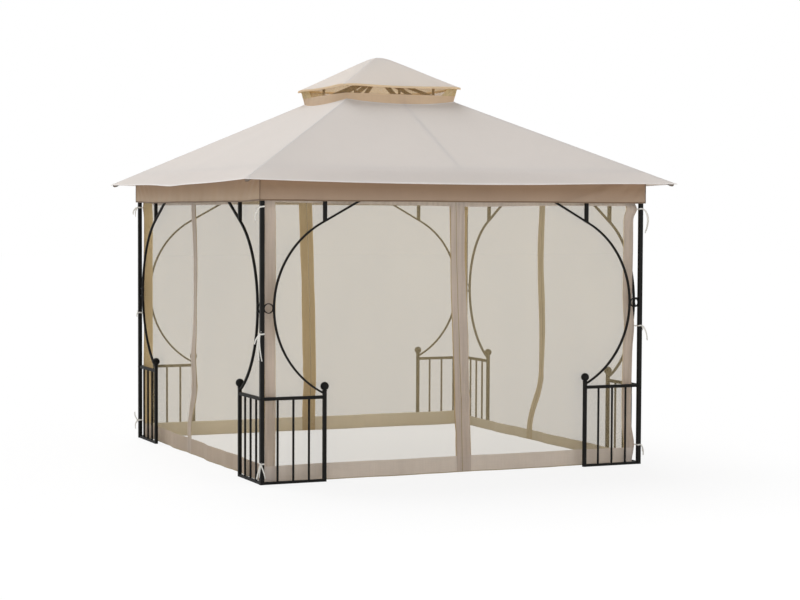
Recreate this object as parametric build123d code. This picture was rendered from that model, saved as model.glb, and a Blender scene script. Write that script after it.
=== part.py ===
"""Garden gazebo: a square open frame of slim posts with low corner fences and
curved corner braces, eight rafters, a two-tier fabric roof with a netted vent,
a valance and four hanging net walls. Millimetres, +Z up, front towards -Y."""
import os
from math import atan, cos, radians, sin, sqrt

from build123d import *

os.makedirs("parts", exist_ok=True)

# Plan of the frame
post_spacing = 2655.0
post_size = 25.0

# Main roof: overhang and height of the corner tips, and rise to the vent corners
eave_overhang = 172.5
tip_height = 1858.0
roof_rise = 566.0
vent_half = 394.0
vent_bow = 56.0
canopy_thickness = 2.0
flap_droop = 24.0
flap_draw_in = 18.0

# Upper roof tier
top_overhang = 36.0
vent_rise = 86.0
top_rise = 224.0
apex_flat_half = 30.0
top_sag = 9.0

# Rafters, beams and crown
rafter_size = 20.0
beam_size = 20.0
hub_size = 120.0
hub_drop = 12.0
crown_post_size = 44.0
rib_size = 16.0
strut_size = 14.0
strut_margin = 104.0
rib_end_margin = 36.0
tip_margin = 24.0

# Corner fences
fence_reach = 410.0
short_post_size = 21.0
short_post_rise = 32.0
ball_diameter = 53.0
top_rail_height = 524.0
top_rail_size = 20.0
bottom_rail_size = 16.0
rail_depth = 18.0
fence_bar_diameter = 14.0
fence_bar_count = 3

# Curved corner braces
brace_near = 78.0
brace_mid_share = 0.392
brace_run_angle = 28.6
brace_width = 11.0
brace_depth = 15.0
ring_bar = 5.0
ring_depth = 12.0

# Fabric trim and net walls
valance_offset = 9.0
valance_drop = 192.0
valance_thickness = 2.0
vent_net_thickness = 2.0
vent_net_margin = 18.0
net_inset = 37.0
net_thickness = 2.0
net_floor_gap = 4.0
net_tab_width = 30.0
net_tab_height = 12.0
net_tab_count = 5
tie_height_shares = (0.068, 0.482, 0.886)
tie_width = 10.0
tie_thickness = 1.2
tie_tail = 110.0
tie_tail_lead = 24.0

# Fits: small gaps where pieces lie on each other, and overlap inside one welded piece
clearance = 0.3
fabric_gap = 0.6
weld_bite = 1.5
overrun = 40.0

# Worked-out sizes
root_two = sqrt(2.0)
quarter_turn = 90.0
half_spacing = post_spacing / 2
post_half = post_size / 2
canopy_half = half_spacing + eave_overhang
vent_height = tip_height + roof_rise
top_half = vent_half + top_overhang
top_edge_height = vent_height + vent_rise
apex_height = top_edge_height + top_rise
strut_place = vent_half - strut_margin
roof_slope = (vent_height - tip_height) / (canopy_half - vent_half)
top_slope = (apex_height - top_edge_height) / (top_half - apex_flat_half)
rafter_half = rafter_size / 2
rib_half = rib_size / 2
hip_height = rafter_size / cos(atan(roof_slope / root_two))
mid_height = rafter_size / cos(atan(roof_slope))
rib_height = rib_size / cos(atan(top_slope / root_two))
hip_drop = canopy_thickness + roof_slope * rafter_half / root_two + fabric_gap
mid_drop = canopy_thickness + clearance
rib_drop = canopy_thickness + top_slope * rib_half / root_two + fabric_gap
post_diagonal = post_size * root_two
post_reach = half_spacing * root_two
valance_inner = half_spacing + post_half + valance_offset
valance_outer = valance_inner + valance_thickness
flap_start = valance_outer + tie_width
net_outer = half_spacing - net_inset


def roof_z(half):
    """Height of the main roof's outer face at a distance from the centre."""
    return tip_height + (canopy_half - half) * roof_slope


def top_z(half):
    """Height of the upper tier's outer face at a distance from the centre."""
    return top_edge_height + (top_half - half) * top_slope


def hip_top(reach):
    """Top of a hip rafter at a distance along the diagonal."""
    return roof_z(reach / root_two) - hip_drop


def hip_under(reach):
    """Underside of a hip rafter at a distance along the diagonal."""
    return hip_top(reach) - hip_height


def mid_top(reach):
    """Top of a middle rafter at a distance from the centre."""
    return roof_z(reach) - mid_drop


def mid_under(reach):
    """Underside of a middle rafter at a distance from the centre."""
    return mid_top(reach) - mid_height


def rib_top(reach):
    """Top of an upper rib at a distance along the diagonal."""
    return top_z(reach / root_two) - rib_drop


def rib_under(reach):
    """Underside of an upper rib at a distance along the diagonal."""
    return rib_top(reach) - rib_height


post_top = hip_under(post_reach + post_diagonal / 2)
beam_top = post_top
beam_bottom = beam_top - beam_size
top_rail_high = top_rail_height + top_rail_size / 2
short_post_height = top_rail_high + short_post_rise
brace_foot = fence_reach - short_post_size / 2
brace_foot_height = top_rail_high + short_post_rise / 2
brace_mid_height = brace_foot_height + (beam_bottom - brace_foot_height) * brace_mid_share
brace_throw = brace_foot - brace_near
brace_radius = (brace_throw ** 2 + (brace_mid_height - brace_foot_height) ** 2) / (2 * brace_throw)
valance_bottom = roof_z(valance_outer) - canopy_thickness - valance_drop
tie_heights = [post_top * share for share in tie_height_shares]


def turned(shape, corner):
    """The shape turned about the middle of the plan by quarter turns."""
    return Rot(0, 0, quarter_turn * corner) * shape


def block(x0, x1, y0, y1, z0, z1):
    """A box between two opposite corners."""
    box = Box(x1 - x0, y1 - y0, z1 - z0)
    return Pos((x0 + x1) / 2, (y0 + y1) / 2, (z0 + z1) / 2) * box


def profile_bar(points, width):
    """A bar with an outline in the X-Z plane, centred on Y = 0."""
    corners = [Vector(x, -width / 2, z) for x, z in points]
    outline = Wire.make_polygon(corners, close=True)
    return extrude(Face(outline), amount=width, dir=(0, 1, 0))


def line(a, b):
    """A straight edge between two points."""
    return Edge.make_line(Vector(*a), Vector(*b))


def arc(a, b, c):
    """A circular edge through three points."""
    return Edge.make_three_point_arc(Vector(*a), Vector(*b), Vector(*c))


def joined(shapes):
    """The shapes fused to one solid."""
    result = shapes[0]
    for shape in shapes[1:]:
        result = result + shape
    return result


def make_post():
    """The front left corner post, from the ground to the hip rafter."""
    x = -half_spacing
    return block(x - post_half, x + post_half, x - post_half, x + post_half, 0, post_top)


def make_beam():
    """The front eave beam between the two corner posts."""
    inner = half_spacing - post_half
    beam_half = beam_size / 2
    return block(-inner, inner, -half_spacing - beam_half, -half_spacing + beam_half, beam_bottom, beam_top)


def make_fence():
    """Left fence of the front wall: rails, bars and a short post with a ball."""
    x0 = -half_spacing
    short_half = short_post_size / 2
    start = x0 + post_half
    end = x0 + fence_reach
    y0 = -half_spacing
    depth_half = rail_depth / 2
    rail_low = top_rail_height - top_rail_size / 2
    pieces = [block(end - short_half, end + short_half, y0 - short_half, y0 + short_half,
                    0, short_post_height)]
    pieces.append(block(start, end, y0 - depth_half, y0 + depth_half, 0, bottom_rail_size))
    pieces.append(block(start, end, y0 - depth_half, y0 + depth_half, rail_low, top_rail_high))
    bar_low = bottom_rail_size - weld_bite
    bar_length = rail_low + weld_bite - bar_low
    for index in range(fence_bar_count):
        x = x0 + fence_reach * (index + 1) / (fence_bar_count + 1)
        bar = Cylinder(fence_bar_diameter / 2, bar_length)
        pieces.append(Pos(x, y0, bar_low + bar_length / 2) * bar)
    ball_radius = ball_diameter / 2
    ball_centre = short_post_height + ball_radius - weld_bite
    pieces.append(Pos(end, y0, ball_centre) * Sphere(ball_radius))
    return joined(pieces)


def brace_outline_point(radius, angle):
    """A point on the brace circle, at an angle back from the straight run."""
    u = brace_near + brace_radius - radius * sin(angle)
    return u, brace_mid_height + radius * cos(angle)


def brace_axis_height(u):
    """Height of the brace's middle line, on the upper arc or on the straight run."""
    run = radians(brace_run_angle)
    tangent_u, tangent_z = brace_outline_point(brace_radius, run)
    if u < tangent_u:
        return brace_mid_height + sqrt(brace_radius ** 2 - (brace_near + brace_radius - u) ** 2)
    return tangent_z + (u - tangent_u) * sin(run) / cos(run)


def make_brace():
    """Left brace of the front wall: an arc that becomes a straight run at the beam,
    the ring between arc and post, and the short hanger under the beam."""
    x0 = -half_spacing
    y0 = -half_spacing - brace_depth / 2
    centre_u = brace_near + brace_radius
    run = radians(brace_run_angle)

    def side(radius):
        """Foot, far left, tangent and beam points of one side of the bar."""
        foot_z = brace_mid_height - sqrt(radius * radius - (centre_u - brace_foot) ** 2)
        tangent_u, tangent_z = brace_outline_point(radius, run)
        length = (beam_bottom - tangent_z) / sin(run)
        end_u = tangent_u + length * cos(run)
        points = [(brace_foot, foot_z), (centre_u - radius, brace_mid_height), (tangent_u, tangent_z),
                  (end_u, beam_bottom)]
        return [(x0 + u, y0, z) for u, z in points]

    outer = side(brace_radius + brace_width / 2)
    inner = side(brace_radius - brace_width / 2)
    edges = [arc(outer[0], outer[1], outer[2]), line(outer[2], outer[3]), line(outer[3], inner[3])]
    edges += [line(inner[3], inner[2]), arc(inner[2], inner[1], inner[0]), line(inner[0], outer[0])]
    bar = extrude(Face(Wire(edges)), amount=brace_depth, dir=(0, 1, 0))

    gap_end = brace_near - brace_width / 2
    ring_radius = (gap_end - post_half) / 2 + weld_bite
    ring_u = (gap_end + post_half) / 2
    ring = Cylinder(ring_radius, ring_depth) - Cylinder(ring_radius - ring_bar, ring_depth)
    ring = Pos(x0 + ring_u, -half_spacing, brace_mid_height) * (Rot(quarter_turn, 0, 0) * ring)
    face_x = x0 + post_half
    ring_low = brace_mid_height - ring_radius - weld_bite
    ring_high = brace_mid_height + ring_radius + weld_bite
    beyond_post = block(x0, face_x, -half_spacing - ring_depth, -half_spacing + ring_depth,
                        ring_low, ring_high)
    ring = ring - beyond_post

    near_u = fence_reach - short_post_size / 2
    far_u = fence_reach + short_post_size / 2
    points = [(x0 + near_u, brace_axis_height(near_u)), (x0 + far_u, brace_axis_height(far_u)),
              (x0 + far_u, beam_bottom), (x0 + near_u, beam_bottom)]
    hanger = Pos(0, -half_spacing, 0) * profile_bar(points, short_post_size)
    return joined([bar, ring, hanger])


def make_hip():
    """The front left hip rafter with a flat seat over the post, ending under the tip."""
    start = hub_size / 2
    end = (canopy_half - tip_margin) * root_two
    seat_in = post_reach - post_diagonal / 2
    seat_out = post_reach + post_diagonal / 2
    points = [(start, hip_top(start)), (end, hip_top(end)), (end, hip_under(end)), (seat_out, post_top),
              (seat_in, post_top), (seat_in, hip_under(seat_in)), (start, hip_under(start))]
    return Rot(0, 0, -quarter_turn - quarter_turn / 2) * profile_bar(points, rafter_size)


def make_middle_rafter():
    """The front middle rafter with a flat seat on the eave beam."""
    start = hub_size / 2
    seat_in = half_spacing - beam_size / 2
    end = half_spacing + beam_size / 2
    points = [(start, mid_top(start)), (end, mid_top(end)), (end, beam_top), (seat_in, beam_top),
              (seat_in, mid_under(seat_in)), (start, mid_under(start))]
    return Rot(0, 0, -quarter_turn) * profile_bar(points, rafter_size)


def octagon_bar(size, low, high):
    """An eight-sided upright bar with flats facing the rafters."""
    sides = 8
    outline = RegularPolygon(size / 2, sides, major_radius=False)
    turn = quarter_turn / sides * 2
    column = extrude(Rot(0, 0, turn) * outline, amount=high - low, dir=(0, 0, 1))
    return Pos(0, 0, low) * column


def make_crown():
    """The hub that takes the eight rafters, with the crown post of the upper tier."""
    hub_low = min(mid_under(hub_size / 2), hip_under(hub_size / 2)) - hub_drop
    hub_high = max(mid_top(hub_size / 2), hip_top(hub_size / 2))
    crown_high = apex_height - canopy_thickness - clearance
    hub = octagon_bar(hub_size, hub_low, hub_high)
    return hub + octagon_bar(crown_post_size, hub_high - weld_bite, crown_high)


def make_upper_rib():
    """The front left rib of the upper tier, welded to the strut that stands on the hip."""
    start = crown_post_size / 2
    end = (top_half - rib_end_margin) * root_two
    flat_under = apex_height - canopy_thickness - fabric_gap
    flat_end = (apex_flat_half - rib_half / root_two) * root_two
    points = [(start, flat_under), (flat_end, flat_under), (end, rib_top(end)), (end, rib_under(end)),
              (start, rib_under(start))]
    rib = profile_bar(points, rib_size)
    strut_in = strut_place * root_two - strut_size / 2
    strut_out = strut_place * root_two + strut_size / 2
    points = [(strut_in, rib_under(strut_in) + weld_bite), (strut_out, rib_under(strut_out) + weld_bite),
              (strut_out, hip_top(strut_out)), (strut_in, hip_top(strut_in))]
    strut = profile_bar(points, strut_size)
    return Rot(0, 0, -quarter_turn - quarter_turn / 2) * (rib + strut)


def make_canopy_panel():
    """The front panel of the main roof: a flat sloping face from the curved vent edge to
    the eave, and the flap beyond it that droops between the two corner tips."""
    start = roof_z(flap_start)
    vent_left = (-vent_half, -vent_half, vent_height)
    vent_mid = (0, -vent_half - vent_bow, roof_z(vent_half + vent_bow))
    vent_right = (vent_half, -vent_half, vent_height)
    eave_left = (-flap_start, -flap_start, start)
    eave_right = (flap_start, -flap_start, start)
    edges = [arc(vent_left, vent_mid, vent_right), line(vent_right, eave_right), line(eave_right, eave_left),
             line(eave_left, vent_left)]
    slope_face = extrude(Face(Wire(edges)), amount=canopy_thickness, dir=(0, 0, -1))
    tip_left = (-canopy_half, -canopy_half, tip_height)
    tip_mid = (0, -canopy_half + flap_draw_in, tip_height - flap_droop)
    tip_right = (canopy_half, -canopy_half, tip_height)
    flap = Face.make_surface_from_curves(line(eave_left, eave_right), arc(tip_left, tip_mid, tip_right))
    return slope_face + extrude(flap, amount=canopy_thickness, dir=(0, 0, -1))


def make_top_canopy():
    """The upper roof tier: four sloping faces with sagging edges and a small flat top."""
    sides = []
    for corner in range(4):
        low_left = (-top_half, -top_half, top_edge_height)
        low_mid = (0, -top_half, top_edge_height - top_sag)
        low_right = (top_half, -top_half, top_edge_height)
        high_left = (-apex_flat_half, -apex_flat_half, apex_height)
        high_right = (apex_flat_half, -apex_flat_half, apex_height)
        face = Face.make_surface_from_curves(line(high_left, high_right), arc(low_left, low_mid, low_right))
        sides.append(turned(extrude(face, amount=canopy_thickness, dir=(0, 0, -1)), corner))
    flat = block(-apex_flat_half, apex_flat_half, -apex_flat_half, apex_flat_half,
                 apex_height - canopy_thickness, apex_height)
    return joined(sides + [flat])


def make_valance_panel(hips):
    """The front valance, hung from the roof just outside the posts and let in round the hips."""
    length_half = valance_inner - clearance
    outer_top = roof_z(valance_outer) - canopy_thickness
    inner_top = roof_z(valance_inner) - canopy_thickness
    points = [(valance_outer, outer_top), (valance_outer, valance_bottom), (valance_inner, valance_bottom),
              (valance_inner, inner_top)]
    panel = Rot(0, 0, -quarter_turn) * profile_bar(points, length_half * 2)
    for hip in hips:
        panel = panel - hip
    return panel


def make_vent_net():
    """The netted band between the vent edge of the main roof and the upper tier."""
    rise = top_half - vent_net_margin
    panels = []
    for corner in range(4):
        low_left = (-vent_half, -vent_half, vent_height)
        low_mid = (0, -vent_half - vent_bow, roof_z(vent_half + vent_bow))
        low_right = (vent_half, -vent_half, vent_height)
        high = top_z(rise) - canopy_thickness - top_sag
        face = Face.make_surface_from_curves(line((-rise, -rise, high), (rise, -rise, high)),
                                             arc(low_left, low_mid, low_right))
        sheet = extrude(face, amount=vent_net_thickness, dir=(0, 1, 0))
        reach = canopy_half
        wedge_corners = [Vector(0, 0, 0), Vector(-reach, -reach, 0), Vector(reach, -reach, 0)]
        quadrant = Wire.make_polygon(wedge_corners, close=True)
        wedge = extrude(Face(quadrant), amount=apex_height, dir=(0, 0, 1))
        panels.append(turned(sheet & wedge, corner))
    return joined(panels)


def make_net(end_cut):
    """The front net wall with the tabs that hold it to the eave beam."""
    length_half = net_outer - end_cut
    high = beam_bottom + net_tab_height
    pieces = [block(-length_half, length_half, -net_outer, -net_outer + net_thickness, net_floor_gap, high)]
    beam_face = -half_spacing + beam_size / 2
    for index in range(net_tab_count):
        x = length_half * (2 * index + 1 - net_tab_count) / net_tab_count
        tab_half = net_tab_width / 2
        pieces.append(block(x - tab_half, x + tab_half, beam_face, -net_outer + net_thickness,
                            beam_bottom, high))
    return joined(pieces)


def make_tie(height):
    """One tie of the front left corner: a loop round the post, a strip to the net
    corner and a tail that hangs beside the post."""
    x = -half_spacing
    low = height - tie_width / 2
    high = height + tie_width / 2
    outer = post_half + tie_thickness
    loop = block(x - outer, x + outer, x - outer, x + outer, low, high)
    loop = loop - block(x - post_half, x + post_half, x - post_half, x + post_half, low, high)
    strip_end = net_inset
    strip = Rot(0, 0, quarter_turn / 2) * Box(strip_end * root_two, tie_thickness, tie_width)
    strip = Pos(x + strip_end / 2, x + strip_end / 2, height) * strip
    strip = strip - block(x - outer, x + outer, x - outer, x + outer, low, high)
    strip = strip & block(x, -net_outer, x, -net_outer, low, high)
    tail = block(x - outer - tie_thickness, x - outer, x - tie_width / 2, x + tie_width / 2,
                 height - tie_tail, high)
    return joined([loop, strip, tail])


walls = ("front", "right", "back", "left")
ends = (("left", "right"), ("front", "back"), ("right", "left"), ("back", "front"))
corners = ("front_left", "front_right", "back_right", "back_left")

post = make_post()
hip = make_hip()
hips = [turned(hip, corner) for corner in range(4)]
for corner, name in enumerate(corners):
    export_step(turned(post, corner), f"parts/post_{name}.step")
    export_step(hips[corner], f"parts/hip_rafter_{name}.step")

beam = make_beam()
fence = make_fence()
brace = make_brace()
fence_mirrored = mirror(fence, about=Plane.YZ)
brace_mirrored = mirror(brace, about=Plane.YZ)
canopy_panel = make_canopy_panel()
long_net = make_net(0)
short_net = make_net(net_thickness + clearance)
for index, wall in enumerate(walls):
    left_end, right_end = ends[index]
    export_step(turned(beam, index), f"parts/eave_beam_{wall}.step")
    export_step(turned(fence, index), f"parts/fence_{wall}_{left_end}.step")
    export_step(turned(fence_mirrored, index), f"parts/fence_{wall}_{right_end}.step")
    export_step(turned(brace, index), f"parts/brace_{wall}_{left_end}.step")
    export_step(turned(brace_mirrored, index), f"parts/brace_{wall}_{right_end}.step")
    export_step(turned(canopy_panel, index), f"parts/canopy_{wall}.step")
    net = short_net if index % 2 else long_net
    export_step(turned(net, index), f"parts/net_wall_{wall}.step")

middle_rafter = make_middle_rafter()
export_step(Compound([turned(middle_rafter, index) for index in range(4)]), "parts/middle_rafters.step")
export_step(make_crown(), "parts/crown_hub.step")
upper_rib = make_upper_rib()
export_step(Compound([turned(upper_rib, index) for index in range(4)]), "parts/upper_ribs.step")
export_step(make_top_canopy(), "parts/canopy_top.step")
export_step(make_vent_net(), "parts/vent_net.step")
valance_panel = make_valance_panel(hips)
export_step(Compound([turned(valance_panel, index) for index in range(4)]), "parts/valance.step")
ties = [turned(make_tie(height), corner) for height in tie_heights for corner in range(4)]
export_step(Compound(ties), "parts/net_ties.step")
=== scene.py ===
"""Garden gazebo: cloth roof, vent, valance, net walls, tape ties and small hardware worked out as numpy
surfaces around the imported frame. Metres, +Z up, front towards -Y."""

import math

import bmesh
import bpy
import numpy as np
from bpy.props import FloatProperty, FloatVectorProperty, PointerProperty
from mathutils import Matrix, Vector


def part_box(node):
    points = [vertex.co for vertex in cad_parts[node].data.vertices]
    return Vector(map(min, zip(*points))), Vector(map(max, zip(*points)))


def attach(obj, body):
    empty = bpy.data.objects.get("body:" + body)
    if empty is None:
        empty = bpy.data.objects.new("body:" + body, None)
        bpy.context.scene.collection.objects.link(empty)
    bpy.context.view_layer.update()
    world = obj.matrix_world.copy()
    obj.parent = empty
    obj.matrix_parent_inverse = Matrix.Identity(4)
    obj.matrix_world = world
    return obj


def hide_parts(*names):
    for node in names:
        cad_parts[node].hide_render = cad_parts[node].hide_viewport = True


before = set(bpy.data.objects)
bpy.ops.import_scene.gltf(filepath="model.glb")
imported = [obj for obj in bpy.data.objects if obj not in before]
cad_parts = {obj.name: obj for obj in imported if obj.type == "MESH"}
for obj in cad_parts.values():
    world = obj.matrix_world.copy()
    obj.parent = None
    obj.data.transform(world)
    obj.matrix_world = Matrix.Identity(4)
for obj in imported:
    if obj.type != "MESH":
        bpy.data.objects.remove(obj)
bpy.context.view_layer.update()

bl_info = {
    "name": "Garden gazebo dressing",
    "version": (1, 0, 0),
    "blender": (4, 5, 0),
    "location": "3D View > Sidebar > Gazebo",
    "description": "Cloth, netting, ties and hardware of a square garden gazebo",
    "category": "Object",
}


def corners_of(node_name):
    """The lowest and the highest corner of a node of the frame."""
    return tuple(np.array(corner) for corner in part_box(node_name))


# Sides run round the plan from the front. Corner w lies at the left end of side w, seen from outside.
SIDES = ("front", "right", "back", "left")
MM = 0.001
UP = np.array([0.0, 0.0, 1.0])
FRAME_NODES = ("post_", "hip_", "eave_", "fence_", "brace_", "middle_", "crown_", "upper_")

POST_LOW, POST_HIGH = corners_of("post_front_left")
CANOPY_HIGH = corners_of("canopy_front")[1]
TOP_HIGH = corners_of("canopy_top")[1]
VALANCE_LOW, VALANCE_HIGH = corners_of("valance")
NET_LOW, NET_HIGH = corners_of("net_wall_front")
BEAM_LOW, BEAM_HIGH = corners_of("eave_beam_front")
FENCE_HIGH = corners_of("fence_front_left")[1]
HALF_SPACING = -float(POST_LOW[0] + POST_HIGH[0]) / 2
POST_HALF = float(POST_HIGH[0] - POST_LOW[0]) / 2
BALL_RADIUS = 0.0265
TOP_RAIL_HEIGHT = 0.524

# How much lower the valance hangs than its solid in the frame
VALANCE_HANG = 9.0 * MM

# How near two points are to be joined: in closed trim, in stretched cloth and at loosely fitting corners
TRIM_WELD = 1e-6
CLOTH_WELD = 1e-5
CORNER_WELD = 1e-4


def length(name, description, default):
    """A size in metres that a user can change."""
    return FloatProperty(name=name, description=description, default=default, unit="LENGTH")


def colour(name, description, default):
    """A colour that a user can change."""
    return FloatVectorProperty(name=name, description=description, default=default, subtype="COLOR")


class GazeboSizes(bpy.types.PropertyGroup):
    """Sizes of the cloth pieces that a user would change."""

    canopy_half: length("Roof half width", "Middle of the plan to a roof tip along X or Y",
                        float(CANOPY_HIGH[0]))
    tip_height: length("Tip height", "Height of the four roof tips", 1.858)
    vent_half: length("Vent half width", "Middle of the plan to a vent corner", 0.394)
    vent_height: length("Vent height", "Height of the vent corners", float(CANOPY_HIGH[2]))
    vent_bow: length("Vent bow", "How far the vent edge curves out at mid side", 0.056)
    flap_start: length("Flap start", "Distance from the middle where the loose eave flap begins", 1.372)
    flap_droop: length("Flap droop", "How far the eave edge hangs below the tips at mid side", 0.018)
    flap_draw_in: length("Flap draw-in", "How far the eave edge is drawn in at mid side", 0.018)
    roof_sag: length("Roof sag", "Sag of the cloth between two rafters", 0.006)
    top_half: length("Upper tier half width", "Middle of the plan to an upper tip", float(TOP_HIGH[0]))
    top_edge_height: length("Upper tier edge", "Height of the upper tips", 2.519)
    apex_height: length("Apex height", "Height of the blunt apex", float(TOP_HIGH[2]))
    apex_half: length("Apex half width", "Half width of the blunt apex", 0.030)
    collar_height: length("Collar height", "Height of the top of the cloth collar round the vent", 2.462)
    valance_bottom: length("Valance bottom", "Height of the valance's lower edge",
                           float(VALANCE_LOW[2]) - VALANCE_HANG)
    valance_wave: length("Valance wave", "Depth of the waves at the valance's lower edge", 0.004)
    net_half: length("Net half width", "Middle of the plan to a net wall", float(NET_HIGH[0]))
    net_fold: length("Net fold", "Depth of the slack folds in a net wall", 0.011)
    hem_height: length("Net hem", "Height of the cloth band at the foot of a net wall", 0.108)
    header_bottom: length("Net header", "Height of the lower edge of a net wall's header band", 1.721)
    corner_band: length("Corner band", "Width of the cloth band at a net wall's corner", 0.068)
    zip_band: length("Zip band", "Width of the cloth band on each side of a zip", 0.050)


class GazeboColours(bpy.types.PropertyGroup):
    """Colours of the finishes that a user would change."""

    frame_coat: colour("Frame coat", "Near-black coating of the tubes", (0.012, 0.0118, 0.011))
    roof_cloth: colour("Roof cloth", "Pale beige cloth of both roof tiers", (0.755, 0.708, 0.675))
    # The pockets' dark colour is painted shade: the shadowed undersides of the roof tips.
    pocket_cloth: colour("Pocket cloth", "Dark cloth of the pockets at the rafter ends", (0.19, 0.155, 0.125))
    upper_hem: colour("Upper hem", "Golden hem of the upper tier", (0.95, 0.77, 0.53))
    valance_cloth: colour("Valance cloth", "Taupe cloth of the valance", (0.300, 0.198, 0.124))
    band_cloth: colour("Band cloth", "Taupe cloth bands of the net walls", (0.70, 0.615, 0.545))
    # The side walls' hems are the same cloth as the front and back hems, darkened by painted shade.
    hem_cloth: colour("Hem cloth", "Paler cloth of the front and back hems", (0.82, 0.745, 0.68))
    side_hem_cloth: colour("Side hem cloth", "Darker cloth of the side walls' hems", (0.58, 0.485, 0.40))
    net_thread: colour("Net thread", "Tan thread of the wall netting", (0.461, 0.374, 0.218))
    vent_thread: colour("Vent thread", "Golden tan thread of the vent netting", (0.50, 0.32, 0.15))
    collar_cloth: colour("Collar cloth", "Warm beige cloth of the vent collar", (0.76, 0.58, 0.44))
    doubled_net: colour("Doubled netting", "Golden folds of netting at the vent's corners",
                        (0.74, 0.60, 0.34))
    # The inner faces of the bands are the band cloth; their golden and pale colours are painted light let
    # through
    # the bands from behind, and paler on the side walls.
    lining: colour("Band lining", "Golden inner face of the zip bands", (0.64, 0.51, 0.31))
    side_lining: colour("Side band lining", "Paler inner face of the side walls' zip bands",
                        (0.82, 0.73, 0.55))
    corner_lining: colour("Corner lining", "Bright golden inner face of the corner bands", (0.98, 0.80, 0.50))
    hem_lining: colour("Hem lining", "Pale inner face of the hems", (0.95, 0.90, 0.78))
    tape: colour("Tape", "Cream woven tape of the ties", (0.95, 0.93, 0.88))


# Grids and meshes

def unit(v):
    """Vectors scaled to length one along the last axis."""
    return v / np.maximum(np.linalg.norm(v, axis=-1, keepdims=True), 1e-12)


def turned(points, side):
    """Points turned about the Z axis by side quarter turns: (x, y) becomes (-y, x) each turn."""
    cosine, sine = ((1, 0), (0, 1), (-1, 0), (0, -1))[side % 4]
    out = np.array(points, dtype=float)
    x, y = out[..., 0].copy(), out[..., 1].copy()
    out[..., 0], out[..., 1] = cosine * x - sine * y, sine * x + cosine * y
    return out


def smooth(x, low, high):
    """Smooth step: 0 below low, 1 above high, the cubic 3t^2 - 2t^3 between."""
    t = np.clip((x - low) / (high - low), 0.0, 1.0)
    return t * t * (3.0 - 2.0 * t)


def bell(x, middle, spread):
    """Bell curve: 1 at the middle, falling as exp(-((x - middle) / spread)^2)."""
    return np.exp(-((x - middle) / spread) ** 2)


def wave(x, period, phase=0.0):
    """Sine of a given period along x."""
    return np.sin(2.0 * math.pi * x / period + phase)


def patch(points, uv=None, closed_u=False, closed_v=False, material=0):
    """One grid of points (n, m, 3) with its cloth coordinates in metres: measured along the
    grid's own rows and columns where none are given."""
    points = np.asarray(points, dtype=float)
    if uv is None:
        du = np.linalg.norm(np.diff(points, axis=0), axis=-1).mean(axis=1)
        dv = np.linalg.norm(np.diff(points, axis=1), axis=-1).mean(axis=0)
        u = np.concatenate([[0.0], np.cumsum(du)])
        v = np.concatenate([[0.0], np.cumsum(dv)])
        uv = np.stack(np.meshgrid(u, v, indexing="ij"), axis=-1)
    return {"points": points, "uv": uv, "closed_u": closed_u, "closed_v": closed_v, "material": material}


def patch_faces(n, m, closed_u, closed_v):
    """Corner numbers of the quads of an n by m grid, with wrapped rows or columns if closed."""
    i = np.arange(n if closed_u else n - 1)
    j = np.arange(m if closed_v else m - 1)
    i, j = (a.ravel() for a in np.meshgrid(i, j, indexing="ij"))
    i2, j2 = (i + 1) % n, (j + 1) % m
    return np.stack([i * m + j, i2 * m + j, i2 * m + j2, i * m + j2], axis=1)


def mesh_of(name, patches, weld=None, away_from=None):
    """A mesh of several grids. weld joins points nearer than that. The faces of a cloth point away from
    a point; without one the shapes are closed, and their faces are turned outwards."""
    points, faces, uvs, materials, start = [], [], [], [], 0
    for p in patches:
        n, m = p["points"].shape[:2]
        flat = p["points"].reshape(-1, 3)
        f = patch_faces(n, m, p["closed_u"], p["closed_v"])
        if away_from is not None:
            a, b, c = (flat[f[:, k]] for k in (0, 1, 3))
            if np.sum(np.cross(b - a, c - a) * (a - np.asarray(away_from))) < 0:
                f = f[:, ::-1]
        points.append(flat)
        faces.append(f + start)
        uvs.append(np.asarray(p["uv"]).reshape(-1, 2))
        materials.append(np.full(len(f), p["material"]))
        start += n * m
    points, faces, uvs = np.concatenate(points), np.concatenate(faces), np.concatenate(uvs)
    mesh = bpy.data.meshes.new(name)
    mesh.from_pydata(points.tolist(), [], faces.tolist())
    layer = mesh.uv_layers.new(name="cloth")
    layer.data.foreach_set("uv", uvs[faces.ravel()].ravel())
    mesh.polygons.foreach_set("material_index", np.concatenate(materials).astype(np.int32))
    mesh.polygons.foreach_set("use_smooth", np.ones(len(faces), dtype=bool))
    if weld is not None or away_from is None:
        bm = bmesh.new()
        bm.from_mesh(mesh)
        if weld is not None:
            bmesh.ops.remove_doubles(bm, verts=bm.verts, dist=weld)
        if away_from is None:
            bmesh.ops.recalc_face_normals(bm, faces=bm.faces)
        bm.to_mesh(mesh)
        bm.free()
    mesh.update()
    return mesh


def add_piece(name, mesh, materials, thickness=None):
    """Put a mesh into the scene as a piece of the object, riding on the one body."""
    piece = bpy.data.objects.new(name, mesh)
    bpy.context.scene.collection.objects.link(piece)
    for material in materials:
        mesh.materials.append(material)
    if thickness is not None:
        solidify = piece.modifiers.new("thickness", "SOLIDIFY")
        solidify.thickness = thickness
        solidify.offset = -1.0
        solidify.use_even_offset = False
    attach(piece, "root")
    return piece


def cloth_piece(name, patches, materials, away_from, weld=None, thickness=None):
    """A piece of open cloth whose faces point away from a point."""
    return add_piece(name, mesh_of(name, patches, weld, away_from), materials, thickness)


def trim_piece(name, patches, material):
    """A piece of closed trim, such as hems, seams, tapes and bolts."""
    return add_piece(name, mesh_of(name, patches, TRIM_WELD), [material])


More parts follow.
